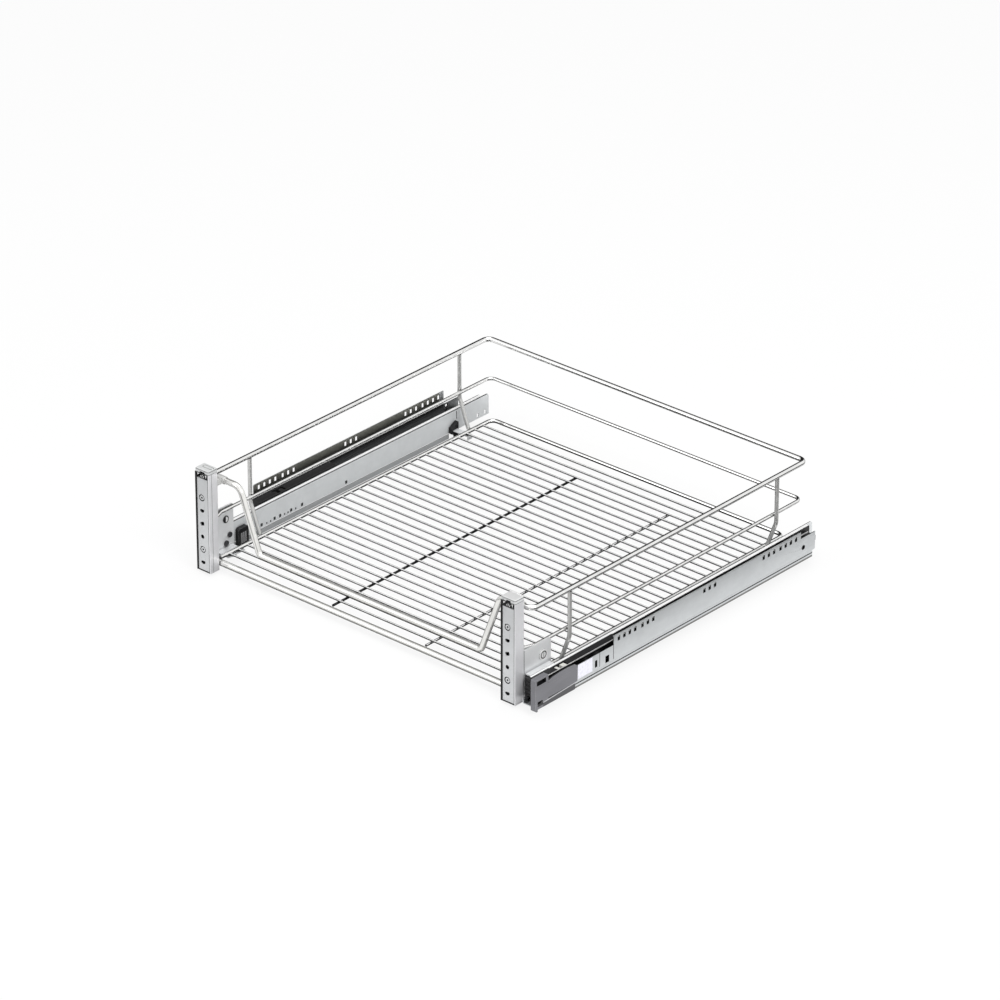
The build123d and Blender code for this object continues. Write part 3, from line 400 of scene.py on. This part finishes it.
FLANGE_INSIDE = {"side": (0, 282.37), "depth": (-5, 463), "height": (14.5, 60)}
FLANGE_SHADE = ((0.034, 0.047), (0.08, 0.08, 0.075), (0.32, 0.32, 0.285))
FLANGE_EDGES = {"side": (282.37, 283.42), "depth": (-5, 496), "height": (18.6, 47.6)}
LOW_FOLD = {"side": (279.5, 280.2), "height": (9.5, 11.0)}
LOW_FOOT = {"side": (279.5, 280.2), "height": (0, 7.2)}
LABEL_SEAM = {"side": (283.3, 284), "depth": (107.3, 108.1), "height": (18.8, 38)}
STEP_SEAM = {"side": (283.3, 284), "depth": (131.4, 132.3), "height": (18.8, 38)}
OUTER_FACE = {"side": (282, 284)}
REAR_HOLE = (476, 26.7)
REAR_HOLE_REACH = 3.1


def height_shade(tree, shade):
    """A colour that changes from one height, in metres, to another."""
    heights, low_colour, high_colour = shade
    height = coordinates(tree)[2]
    return blend_colours(tree, spread(tree, height, *heights, 0, 1), low_colour, high_colour)


def finish_cabinet_rails():
    """Painted shade inside the flange, darker towards its bottom, painted shade on the flange's slot
    walls, in the low fold and in the rear hole, a darker low foot, and painted shadow at the seams by the
    label.
    """
    tree = cabinet_steel.node_tree
    side, depth, height = coordinates(tree)
    # Painted shade inside the flange, darker towards the bottom.
    paint(cabinet_steel, region(tree, **FLANGE_INSIDE), height_shade(tree, FLANGE_SHADE))
    # Painted shade on the walls of the flange's slots.
    paint(cabinet_steel, region(tree, **FLANGE_EDGES), grey(0.04))
    # Painted shade in the low fold line.
    paint(cabinet_steel, region(tree, **LOW_FOLD), BLACK)
    paint(cabinet_steel, region(tree, **LOW_FOOT), (0.2, 0.2, 0.19))
    # Painted shadow at the label's front edge and at the step behind it.
    paint(cabinet_steel, region(tree, **LABEL_SEAM), grey(0.02))
    paint(cabinet_steel, region(tree, **STEP_SEAM), grey(0.05))
    # Painted shade of the rear hole on the outer face.
    hole = between(tree, spot(tree, depth, height, REAR_HOLE), 0, REAR_HOLE_REACH)
    paint(cabinet_steel, all_of(tree, region(tree, **OUTER_FACE), hole), BLACK)


UNDERSIDE = 0.62


def finish_floor_wires():
    """Painted shade on the underside of the floor wires: faces turned less upward than the limit are
    painted dark.
    """
    tree = floor_wire.node_tree
    paint(floor_wire, maths(tree, "LESS_THAN", upward(tree), UNDERSIDE), grey(0.035))


CAP_BEVEL = {"height": (133.5, 134.3)}
CAP_FOOT = {"height": (129, 130.6)}
CAP_TOP = {"height": (135, 136)}
LOOP_CENTRE = (-236.5, 8.8)
LOOP_HALF_LENGTH = 5.2
LOOP_BAND = (2.2, 2.9)


def finish_caps():
    """Painted shade as dark lines round the cap's bevel and foot and on the right cap's top, and a flat
    painted loop on the left cap.
    """
    tree = cap_plastic.node_tree
    width = across(tree)
    depth = coordinates(tree)[1]
    # Painted shade: dark lines at the bevel and the foot.
    paint(cap_plastic, region(tree, **CAP_BEVEL), grey(0.17))
    paint(cap_plastic, region(tree, **CAP_FOOT), grey(0.12))
    # Painted shade: the right cap's top is painted darker than the left one.
    paint(cap_plastic, all_of(tree, right_of(tree, 0), region(tree, **CAP_TOP)), grey(0.52))
    along = maths(tree, "ABSOLUTE", maths(tree, "SUBTRACT", width, LOOP_CENTRE[0] * MM))
    along = maths(tree, "MAXIMUM", maths(tree, "SUBTRACT", along, LOOP_HALF_LENGTH * MM), 0.0)
    back = maths(tree, "SUBTRACT", depth, LOOP_CENTRE[1] * MM)
    square = maths(tree, "ADD", maths(tree, "MULTIPLY", along, along), maths(tree, "MULTIPLY", back, back))
    loop = between(tree, maths(tree, "SQRT", square), *LOOP_BAND)
    paint(cap_plastic, all_of(tree, loop, region(tree, **CAP_TOP)), (0.12, 0.12, 0.11))


CAM_CENTRE = (47.5, 47.5)
CAM_RING_SHADE = (3.5, 5.0)
CAM_BOSS = (0, 3.9)
CAM_FRONT_HALF = {"depth": (40, 47.6)}


def finish_cams():
    """A painted dark ring round the boss as painted shade at its edge, and the front half of the left one
    black.
    """
    tree = cam_steel.node_tree
    side, depth, height = coordinates(tree)
    reach = spot(tree, depth, height, CAM_CENTRE)
    # Painted shade: a dark ring round the boss.
    paint(cam_steel, between(tree, reach, *CAM_RING_SHADE), grey(0.04))
    boss = between(tree, reach, *CAM_BOSS)
    paint(cam_steel, all_of(tree, left_of(tree, 0), boss, region(tree, **CAM_FRONT_HALF)), BLACK)


BRACKET_FACE = {"side": (249, 251), "depth": (16.5, 62)}
BRACKET_SHADE_BAND = {"height": (30.6, 39)}
BRACKET_SHADOW_LINE = {"height": (0, 30.6)}
BRACKET_SHADE = ((0.031, 0.039), (0.16, 0.16, 0.17), (0.72, 0.73, 0.74))


def finish_brackets():
    """Painted shade on the right bracket's face, darker downward, ending in a painted black shadow line
    along the gap over the drawer rail.
    """
    tree = bracket_steel.node_tree
    face = all_of(tree, right_of(tree, 0), region(tree, **BRACKET_FACE))
    shade = height_shade(tree, BRACKET_SHADE)
    # Painted shade over the band above the drawer rail, and a painted shadow line below it.
    paint(bracket_steel, all_of(tree, face, region(tree, **BRACKET_SHADE_BAND)), shade)
    paint(bracket_steel, all_of(tree, face, region(tree, **BRACKET_SHADOW_LINE)), BLACK)


TROUGH_OUTSIDE = {"side": (274.9, 276), "height": (0, 36.6)}
TROUGH_INSIDE = {"side": (273.9, 274.9), "height": (0, 36.6)}
TROUGH_SHADE = ((0.022, 0.036), (0.34, 0.35, 0.36), (0.015, 0.015, 0.015))


def finish_trough():
    """Painted shade: black on the outer leg of the middle rail below its bare rim, and on the left inner
    leg dark at the top, lighter downward.
    """
    tree = bright_steel.node_tree
    # Painted shade on the middle rail's legs.
    paint(bright_steel, region(tree, **TROUGH_OUTSIDE), BLACK)
    inside = all_of(tree, left_of(tree, 0), region(tree, **TROUGH_INSIDE))
    paint(bright_steel, inside, height_shade(tree, TROUGH_SHADE))


SUPPORT_SPLIT = 70
LIT_TOP_LIMIT = 0.45


def finish_support_wires():
    """The right support wire has a painted highlight on top, the left one is black all round, and the
    right welds are painted lighter.
    """
    tree = support_wire.node_tree
    top = maths(tree, "GREATER_THAN", upward(tree), LIT_TOP_LIMIT)
    # Painted highlight on the top of the right support wire and on the right welds.
    paint(support_wire, all_of(tree, right_of(tree, SUPPORT_SPLIT), top), grey(0.85))
    paint(weld_steel, right_of(weld_steel.node_tree, SUPPORT_SPLIT), grey(0.4))


COUPLING_FACE = {"side": (249, 250.9), "height": (3.4, 17.0)}
COUPLING_RIBS = (76.5, 79.9, 83.3)
COUPLING_RIB_WIDTH = 1.2


def finish_couplings():
    """Painted highlight on the ribs between the grooves of the left front coupling."""
    tree = coupling_plastic.node_tree
    depth = coordinates(tree)[1]
    face = all_of(tree, left_of(tree, 0), region(tree, **COUPLING_FACE))
    # Painted highlight on each rib.
    for front in COUPLING_RIBS:
        rib = between(tree, depth, front, front + COUPLING_RIB_WIDTH)
        paint(coupling_plastic, all_of(tree, face, rib), (0.36, 0.36, 0.37))


def finish_catches():
    """The left catch is painted black as painted shade, the right one stays pale."""
    paint(catch_plastic, left_of(catch_plastic.node_tree, 0), BLACK)


RUNNING_SIDE = {"side": (262.1, 290)}
RAIL_TOP = (33.4, 40)
LIT_TOP_STRIP = {"side": (257.1, 261.4), "height": RAIL_TOP}
FRONT_SHADOW = {"side": (259.6, 262.6), "depth": (-5, 46), "height": RAIL_TOP}
INNER_LINE = {"side": (255, 257.1), "height": RAIL_TOP}
OUTER_LINE = {"side": (261.4, 262.6), "height": RAIL_TOP}


def finish_drawer_rails():
    """Painted shade makes the cap's running side black, a painted highlight makes its top white, with a
    painted shadow at the front and painted dark lines along both edges of the top.
    """
    tree = drawer_steel.node_tree
    # Painted shade on the running side, painted highlight on the top, painted shadow at the front and
    # painted shade along the top's edges.
    paint(drawer_steel, region(tree, **RUNNING_SIDE), BLACK)
    paint(drawer_steel, region(tree, **LIT_TOP_STRIP), grey(1.0))
    paint(drawer_steel, region(tree, **FRONT_SHADOW), BLACK)
    paint(drawer_steel, region(tree, **INNER_LINE), grey(0.02))
    paint(drawer_steel, region(tree, **OUTER_LINE), BLACK)


POST_FRONT = {"depth": (-5, 0.7)}
POST_EDGES = (-250.1, 227.9)
POST_EDGE_WIDTH = 1.6
POST_SIDE = (-228.3, -227.7)
POST_FOLD = {"depth": (4.8, 5.5)}


def finish_posts():
    """Painted shade, black, on the channel's left front edge, and painted shade as a fold line down the
    left post's side.
    """
    tree = post_steel.node_tree
    width = across(tree)
    front = region(tree, **POST_FRONT)
    # Painted shade along each post's left front edge.
    for edge in POST_EDGES:
        strip = between(tree, width, edge, edge + POST_EDGE_WIDTH)
        paint(post_steel, all_of(tree, front, strip), BLACK)
    # Painted shade in the fold down the left post's side.
    fold = all_of(tree, between(tree, width, *POST_SIDE), region(tree, **POST_FOLD))
    paint(post_steel, fold, grey(0.28))


RING_HEIGHTS = (28.6, 97.0)
RING_BAND = (3.3, 4.4)
SLOT_HEIGHTS = (11.5, 62.8, 79.9)
SLOT_REACH = 2.2
SLOT_STRETCH = 1.5
DOT_HEIGHT = 45.7
DOT_REACH = 2.6
HOLE_LINES = (-240.5, 237.5)
PLATE_FOOT = {"height": (-5, 1.6)}
RING_BREAK_GRAIN = 420.0
RING_BREAK_SHARE = 0.42


def finish_plates():
    """Painted shade: broken dark rings round the holes on the plates and the studs behind them, and black
    in the plates' slots and dot holes and along their foot.
    """
    for material in (plate_steel, turned_steel):
        tree = material.node_tree
        width = across(tree)
        height = coordinates(tree)[2]
        # Painted shade round the holes, broken by a noise.
        broken = maths(tree, "GREATER_THAN", noise(tree, place_of(tree), RING_BREAK_GRAIN, 1.0), RING_BREAK_SHARE)
        for line in HOLE_LINES:
            for rise in RING_HEIGHTS:
                ring = between(tree, spot(tree, width, height, (line, rise)), *RING_BAND)
                paint(material, all_of(tree, ring, broken), grey(0.025))
    tree = plate_steel.node_tree
    width = across(tree)
    height = coordinates(tree)[2]
    for line in HOLE_LINES:
        for rise in SLOT_HEIGHTS:
            slot = spot(tree, width, height, (line, rise), SLOT_STRETCH)
            paint(plate_steel, between(tree, slot, 0, SLOT_REACH), BLACK)
        dot = spot(tree, width, height, (line, DOT_HEIGHT))
        paint(plate_steel, between(tree, dot, 0, DOT_REACH), BLACK)
    paint(plate_steel, region(tree, **PLATE_FOOT), BLACK)


NOSE_WINDOWS = {"side": (277, 282.7), "depth": (-2.4, 64), "height": (8, 44)}
NOSE_FACE = {"side": (279.9, 284), "depth": (14, 80)}
NOSE_FOOT = {"side": (278, 284), "height": (-5, 0.9)}
RIB_SLOPE = 0.048
RIB_HIGHLIGHT_BAND = (9.0, 10.2)
SKIRT_BAND = (-5, 9.0)


def finish_housings():
    """Painted shade in the windows and along the foot, a painted highlight along the rib line, and a
    darker band below it on the outer face.
    """
    tree = grey_plastic.node_tree
    side, depth, height = coordinates(tree)
    paint(grey_plastic, region(tree, **NOSE_WINDOWS), BLACK)
    face = region(tree, **NOSE_FACE)
    level = maths(tree, "SUBTRACT", height, maths(tree, "MULTIPLY", depth, RIB_SLOPE))
    # Painted highlight along the rib line, then a darker band below it.
    paint(grey_plastic, all_of(tree, face, between(tree, level, *RIB_HIGHLIGHT_BAND)), (0.55, 0.55, 0.57))
    paint(grey_plastic, all_of(tree, face, between(tree, level, *SKIRT_BAND)), (0.06, 0.06, 0.065))
    paint(grey_plastic, region(tree, **NOSE_FOOT), BLACK)


finish_floor_wires()
finish_caps()
finish_catches()
finish_couplings()
finish_cams()
finish_brackets()
finish_trough()
finish_support_wires()
finish_cabinet_rails()
finish_drawer_rails()
finish_posts()
finish_plates()
finish_housings()

NODE_LOOKS = (
    ("floor_wires", floor_wire), ("support_wires", support_wire), ("top_rail", rail_wire),
    ("front_drop_rail", tube_wire), ("mid_rail", rail_wire), ("struts", upright_wire),
    ("floor_frame", rail_wire), ("front_floor_tube", tube_wire), ("post_liner", black_plastic),
    ("post_cap", cap_plastic), ("post", post_steel), ("face_plate", plate_steel),
    ("plate_studs", turned_steel), ("cap_clip", black_plastic), ("rail_clamp", bracket_steel),
    ("front_bracket", bracket_steel), ("adjusting_cam", cam_steel), ("bracket_studs", dark_steel),
    ("drawer_rail", drawer_steel), ("middle_rail", bright_steel), ("cabinet_rail", cabinet_steel),
    ("label_plate", label_film), ("front_housing", grey_plastic), ("outer_cage", black_plastic),
    ("inner_cage", black_plastic), ("outer_rollers", roller_plastic), ("inner_rollers", roller_plastic),
    ("damper_housing", black_plastic), ("damper_cylinder", turned_steel), ("closing_catch", catch_plastic),
    ("rail_end_caps", black_plastic), ("latch_block", coupling_plastic), ("rear_hook", black_plastic),
    ("rear_tie", bracket_steel), ("rail_stop", black_plastic),
)


def look_of(name):
    for start, material in NODE_LOOKS:
        if name.startswith(start):
            return material
    raise ValueError("no look for " + name)


# Edges of the CAD nodes

SMOOTH_ANGLE = math.radians(38)
WELD_GAP = 0.01 * MM
EDGE_ROUND = 0.22 * MM


def smoothing_group():
    """Smooth shading across edges that turn less than the angle, sharp across the rest."""
    group = bpy.data.node_groups.new("smooth_by_angle", "GeometryNodeTree")
    group.interface.new_socket("Geometry", in_out="INPUT", socket_type="NodeSocketGeometry")
    group.interface.new_socket("Geometry", in_out="OUTPUT", socket_type="NodeSocketGeometry")
    source = group.nodes.new("NodeGroupInput")
    result = group.nodes.new("NodeGroupOutput")
    angle = group.nodes.new("GeometryNodeInputMeshEdgeAngle")
    compare = group.nodes.new("FunctionNodeCompare")
    compare.data_type = "FLOAT"
    compare.operation = "LESS_EQUAL"
    compare.inputs[1].default_value = SMOOTH_ANGLE
    faces = group.nodes.new("GeometryNodeSetShadeSmooth")
    faces.domain = "FACE"
    edges = group.nodes.new("GeometryNodeSetShadeSmooth")
    edges.domain = "EDGE"
    link = group.links.new
    link(angle.outputs["Unsigned Angle"], compare.inputs[0])
    link(source.outputs[0], faces.inputs["Geometry"])
    link(faces.outputs[0], edges.inputs["Geometry"])
    link(compare.outputs[0], edges.inputs["Shade Smooth"])
    link(edges.outputs[0], result.inputs[0])
    return group


smooth_group = smoothing_group()


def dress(obj, material, edge_round):
    """Gives a piece its material, rounded edges and a shading that keeps sharp edges sharp."""
    obj.data.materials.clear()
    obj.data.materials.append(material)
    weld = obj.modifiers.new("weld", "WELD")
    weld.merge_threshold = WELD_GAP
    if edge_round:
        bevel = obj.modifiers.new("edges", "BEVEL")
        bevel.width = edge_round
        bevel.segments = 2
        bevel.limit_method = "ANGLE"
        bevel.angle_limit = SMOOTH_ANGLE
    smooth = obj.modifiers.new("smooth", "NODES")
    smooth.node_group = smooth_group
    flat = obj.modifiers.new("flat", "WEIGHTED_NORMAL")
    flat.keep_sharp = True


UNROUNDED = (
    "floor_wires", "support_wires", "outer_rollers", "inner_rollers", "label_plate", "bracket_studs",
)

for node_name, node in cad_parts.items():
    dress(node, look_of(node_name), 0.0 if node_name.startswith(UNROUNDED) else EDGE_ROUND)


# Pieces that the solids leave out

def plain_piece(name, mesh, material, body, edge_round=0.0):
    obj = bpy.data.objects.new(name, mesh)
    scene.collection.objects.link(obj)
    dress(obj, material, edge_round)
    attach(obj, body)
    return obj


def mesh_of(name, build):
    work = bmesh.new()
    build(work)
    bmesh.ops.recalc_face_normals(work, faces=work.faces)
    mesh = bpy.data.meshes.new(name)
    work.to_mesh(mesh)
    work.free()
    return mesh


def add_prism(work, outline, place, depth):
    """A plate with this outline; place turns a point of the outline and a depth into x, y, z."""
    near = [work.verts.new([value * MM for value in place(u, v, 0)]) for u, v in outline]
    far = [work.verts.new([value * MM for value in place(u, v, depth)]) for u, v in outline]
    work.faces.new(near)
    work.faces.new(list(reversed(far)))
    count = len(outline)
    for index in range(count):
        after = (index + 1) % count
        work.faces.new((near[index], far[index], far[after], near[after]))


def add_ring_sweep(work, profile, centre, segments=32):
    """A closed profile of (radius, x) points turned about an axis along x through the centre."""
    rings = []
    for number in range(segments):
        turn = 2 * math.pi * number / segments
        ring = []
        for radius, x in profile:
            point = (x, centre[0] + radius * math.cos(turn), centre[1] + radius * math.sin(turn))
            ring.append(work.verts.new([value * MM for value in point]))
        rings.append(ring)
    count = len(profile)
    for number in range(segments):
        first, second = rings[number], rings[(number + 1) % segments]
        for index in range(count):
            after = (index + 1) % count
            work.faces.new((first[index], second[index], second[after], first[after]))


# Bright spring strips in front of the black clip, the same on both posts. Points are x and z.
CLIP_OUTLINES = (
    ((-235.4, 131.7), (-232.6, 131.7), (-232.6, 127.2), (-233.3, 124.2), (-234.3, 127.4), (-234.9, 129.6)),
    ((-247.1, 131.9), (-242.0, 131.9), (-243.3, 128.8), (-246.8, 125.6)),
    ((-232.4, 131.7), (-230.2, 131.7), (-230.2, 129.0), (-232.4, 129.0)),
    ((-242.6, 124.3), (-242.0, 124.3), (-240.6, 126.8), (-241.2, 126.8)),
    ((-240.6, 123.9), (-240.0, 123.9), (-238.3, 127.6), (-238.9, 127.6)),
    ((-238.3, 123.5), (-237.7, 123.5), (-236.3, 126.9), (-236.9, 126.9)),
)
CLIP_FRONT = 1.05
CLIP_THICKNESS = 0.2
POST_STEP = 478.0

for label, shift in (("left", 0.0), ("right", POST_STEP)):
    def build_clip(work, shift=shift):
        for outline in CLIP_OUTLINES:
            add_prism(work, outline, lambda u, v, d: (u + shift, CLIP_FRONT + d, v), CLIP_THICKNESS)

    clip_name = "clip_spring_" + label
    plain_piece(clip_name, mesh_of(clip_name, build_clip), clip_steel, "drawer")


# A round sleeve on a short foot holds each end of the front tube to its post
TUBE_AXIS = (27.6, 114.0)
SLEEVE_PROFILE = ((3.87, 226.6), (4.5, 226.6), (4.85, 227.4), (4.85, 238.4), (4.5, 239.0), (3.87, 239.0))
FOOT_OUTLINE = ((109.8, 230.2), (118.2, 230.2), (118.2, 237.8), (109.8, 237.8))
FOOT_FRONT = 16.05
FOOT_DEPTH = 7.6
SLEEVE_ROUND = 0.2 * MM

for label, sign in (("left", -1), ("right", 1)):
    def build_sleeve(work, sign=sign):
        add_ring_sweep(work, [(radius, sign * x) for radius, x in SLEEVE_PROFILE], TUBE_AXIS)
        add_prism(work, FOOT_OUTLINE, lambda u, v, d: (sign * v, FOOT_FRONT + d, u), FOOT_DEPTH)

    sleeve_name = "rail_sleeve_" + label
    sleeve_mesh = mesh_of(sleeve_name, build_sleeve)
    sleeve = plain_piece(sleeve_name, sleeve_mesh, sleeve_steel, "drawer", SLEEVE_ROUND)
    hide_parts("rail_clamp_" + label)


# The nose's moulded shoulder, which rises in a shallow curve behind the end block. Points are y and z.
SHOULDER_OUTLINE = (
    (19.4, 33.0), (19.4, 37.0), (24.0, 38.3), (31.0, 39.4), (38.0, 40.0), (46.0, 40.3), (54.0, 40.2),
    (61.0, 39.6), (66.0, 38.4), (68.4, 36.8), (68.4, 33.0),
)
SHOULDER_INNER_SIDE = 280.9
SHOULDER_THICKNESS = 2.5
SHOULDER_ROUND = 0.3 * MM


def build_shoulder(work):
    add_prism(work, SHOULDER_OUTLINE, lambda u, v, d: (SHOULDER_INNER_SIDE + d, u, v), SHOULDER_THICKNESS)


plain_piece(
    "housing_shoulder_right", mesh_of("housing_shoulder_right", build_shoulder),
    grey_plastic, "cabinet_rails", SHOULDER_ROUND,
)


# Folded lips along the foot of the two cabinet rails. Points are x and z.
LIP_OUTLINE = (
    (256.4, 4.6), (257.4, 4.6), (257.4, -1.2), (261.0, -1.2), (261.0, -2.0), (256.9, -2.0), (256.4, -1.5),
)
LIP_FRONT = 62.0
LIP_LENGTH = 390.0
LIP_ROUND = 0.2 * MM

for label, sign in (("left", -1), ("right", 1)):
    def build_lip(work, sign=sign):
        add_prism(work, LIP_OUTLINE, lambda u, v, d: (sign * u, LIP_FRONT + d, v), LIP_LENGTH)

    lip_name = "rail_lip_" + label
    lip_mesh = mesh_of(lip_name, build_lip)
    plain_piece(lip_name, lip_mesh, lip_steel, "cabinet_rails", LIP_ROUND)


# Weld nuggets where the floor wires cross the two support wires
FLOOR_WIRE_FRONT = 34.0
FLOOR_WIRE_STEP = 15.0
FLOOR_WIRE_COUNT = 31
SUPPORT_LINES = ((-54.0, 1.0), (92.0, 0.5))
WELD_SEED = 7
WELD_RADIUS = 1.0
WELD_RISE = 0.9
WELD_SIZES = (0.85, 1.15)
WELD_BULGES = (0.94, 1.06)
WELD_STRETCH = (1.5, 1.9, 1.35)
wires_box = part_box("floor_wires")
supports_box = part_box("support_wires")


def build_welds(work):
    shaky = random.Random(WELD_SEED)
    level = wires_box[0][2] + WELD_RISE * MM
    for line, share in SUPPORT_LINES:
        for number in range(FLOOR_WIRE_COUNT):
            back = (FLOOR_WIRE_FRONT + number * FLOOR_WIRE_STEP) * MM
            if not supports_box[0][1] < back < supports_box[1][1]:
                continue
            size = shaky.uniform(*WELD_SIZES) * share
            ball = bmesh.ops.create_icosphere(work, subdivisions=2, radius=WELD_RADIUS * MM)
            for vertex in ball["verts"]:
                bulge = shaky.uniform(*WELD_BULGES) * size
                stretched = Vector([value * stretch for value, stretch in zip(vertex.co, WELD_STRETCH)])
                vertex.co = stretched * bulge + Vector((line * MM, back, level))


plain_piece("weld_nuggets", mesh_of("weld_nuggets", build_welds), weld_steel, "drawer")


# Stage

def stage_plane(name, size, place, facing, material):
    mesh = bpy.data.meshes.new(name)
    half_x, half_y = size[0] / 2, size[1] / 2
    corners = [(-half_x, -half_y, 0), (half_x, -half_y, 0), (half_x, half_y, 0), (-half_x, half_y, 0)]
    mesh.from_pydata(corners, [], [(0, 1, 2, 3)])
    obj = bpy.data.objects.new(name, mesh)
    obj.data.materials.append(material)
    obj.location = place
    obj.rotation_euler = Vector(facing).to_track_quat("Z", "Y").to_euler()
    scene.collection.objects.link(obj)
    return obj


def seen_rays(tree):
    """1 for rays that show the background: from the camera, and off or through the object."""
    rays = tree.nodes.new("ShaderNodeLightPath").outputs
    first = maths(tree, "MAXIMUM", rays["Is Camera Ray"], rays["Is Glossy Ray"])
    return maths(tree, "MAXIMUM", first, rays["Is Transmission Ray"])


FLOOR_SIZE = (40.0, 40.0)
FLOOR_COLOUR = grey(0.82)
FLOOR_GLOW = 0.86
FLOOR_LEVEL = cad_box[0][2] - 0.5 * MM
WORLD_LIGHT = 0.62
CARD_SHADE = 0.03
CARD_LEVEL = cad_box[0][2] - 0.4 * MM


def floor_material():
    """Pale floor that keeps part of the object's shadow under a white glow."""
    material, tree, shader = start_material("floor")
    grain = noise(tree, place_of(tree), 400.0, 2.0)
    tree.links.new(spread(tree, grain, 0.3, 0.7, 0.75, 0.9), shader.inputs["Roughness"])
    shader.inputs["Base Color"].default_value = (*FLOOR_COLOUR, 1.0)
    glow = tree.nodes.new("ShaderNodeEmission")
    glow.inputs["Color"].default_value = (1, 1, 1, 1)
    mixed = tree.nodes.new("ShaderNodeMixShader")
    tree.links.new(maths(tree, "MULTIPLY", seen_rays(tree), FLOOR_GLOW), mixed.inputs[0])
    tree.links.new(shader.outputs[0], mixed.inputs[1])
    tree.links.new(glow.outputs[0], mixed.inputs[2])
    tree.links.new(mixed.outputs[0], tree.nodes["Material Output"].inputs["Surface"])
    return material


def card_material():
    material, tree, shader = start_material("card")
    tree.nodes.remove(shader)
    glow = tree.nodes.new("ShaderNodeEmission")
    glow.inputs["Color"].default_value = (*grey(CARD_SHADE), 1.0)
    tree.links.new(glow.outputs[0], tree.nodes["Material Output"].inputs["Surface"])
    return material


stage_plane("floor", FLOOR_SIZE, (0, 0, FLOOR_LEVEL), (0, 0, 1), floor_material())

# Dark cards that only gloss sees: each darkens one side of the bright wires, as in a photo studio.
# Name, size, place and facing, in metres.
CARDS = (
    ("card_behind", (3.6, 3.4), (-1.75, 1.9, 1.75), (0.68, -0.72, 0.0)),
    ("card_below", (0.52, 0.56), (0.0, 0.28, CARD_LEVEL), (0, 0, 1)),
    ("card_before", (1.6, 0.8), (-0.25, -0.60, CARD_LEVEL), (0, 0, 1)),
    ("card_beside", (0.8, 1.6), (0.75, 0.60, CARD_LEVEL), (0, 0, 1)),
)
dark_card = card_material()
for card_name, size, place, facing in CARDS:
    card = stage_plane(card_name, size, place, facing, dark_card)
    card.visible_camera = False
    card.visible_diffuse = False
    card.visible_shadow = False

world = bpy.data.worlds.new("studio")
scene.world = world
world.use_nodes = True
background = world.node_tree.nodes["Background"]
background.inputs["Color"].default_value = (1, 1, 1, 1)
strength = spread(world.node_tree, seen_rays(world.node_tree), 0.0, 1.0, WORLD_LIGHT, 1.0)
world.node_tree.links.new(strength, background.inputs["Strength"])


LAMP_TARGET = Vector((0, 0.25, 0.05))

# Name, place, size of the square in metres, and power in watts
LAMPS = (
    ("key", (2.6, -0.6, 2.4), 1.6, 60),
    ("fill", (-1.6, -2.4, 1.8), 1.8, 22),
    ("top", (0.0, 0.4, 2.8), 1.8, 30),
)
for lamp_name, place, size, power in LAMPS:
    lamp_data = bpy.data.lights.new(lamp_name, "AREA")
    lamp_data.shape = "SQUARE"
    lamp_data.size = size
    lamp_data.energy = power
    lamp = bpy.data.objects.new(lamp_name, lamp_data)
    lamp.location = place
    lamp.rotation_euler = (Vector(place) - LAMP_TARGET).to_track_quat("Z", "Y").to_euler()
    scene.collection.objects.link(lamp)

camera_data = bpy.data.cameras.new("camera")
camera_data.lens = CAMERA_LENS
camera_data.sensor_width = CAMERA_SENSOR
camera_data.clip_end = CAMERA_REACH
camera = bpy.data.objects.new("camera", camera_data)
back = Vector(CAMERA_BACK).normalized()
right = Vector((0, 0, 1)).cross(back).normalized()
up = back.cross(right)
turned = Matrix((right, up, back)).transposed()
camera.matrix_world = Matrix.Translation(Vector(CAMERA_PLACE)) @ turned.to_4x4()
scene.collection.objects.link(camera)
scene.camera = camera
scene.view_settings.view_transform = "Standard"
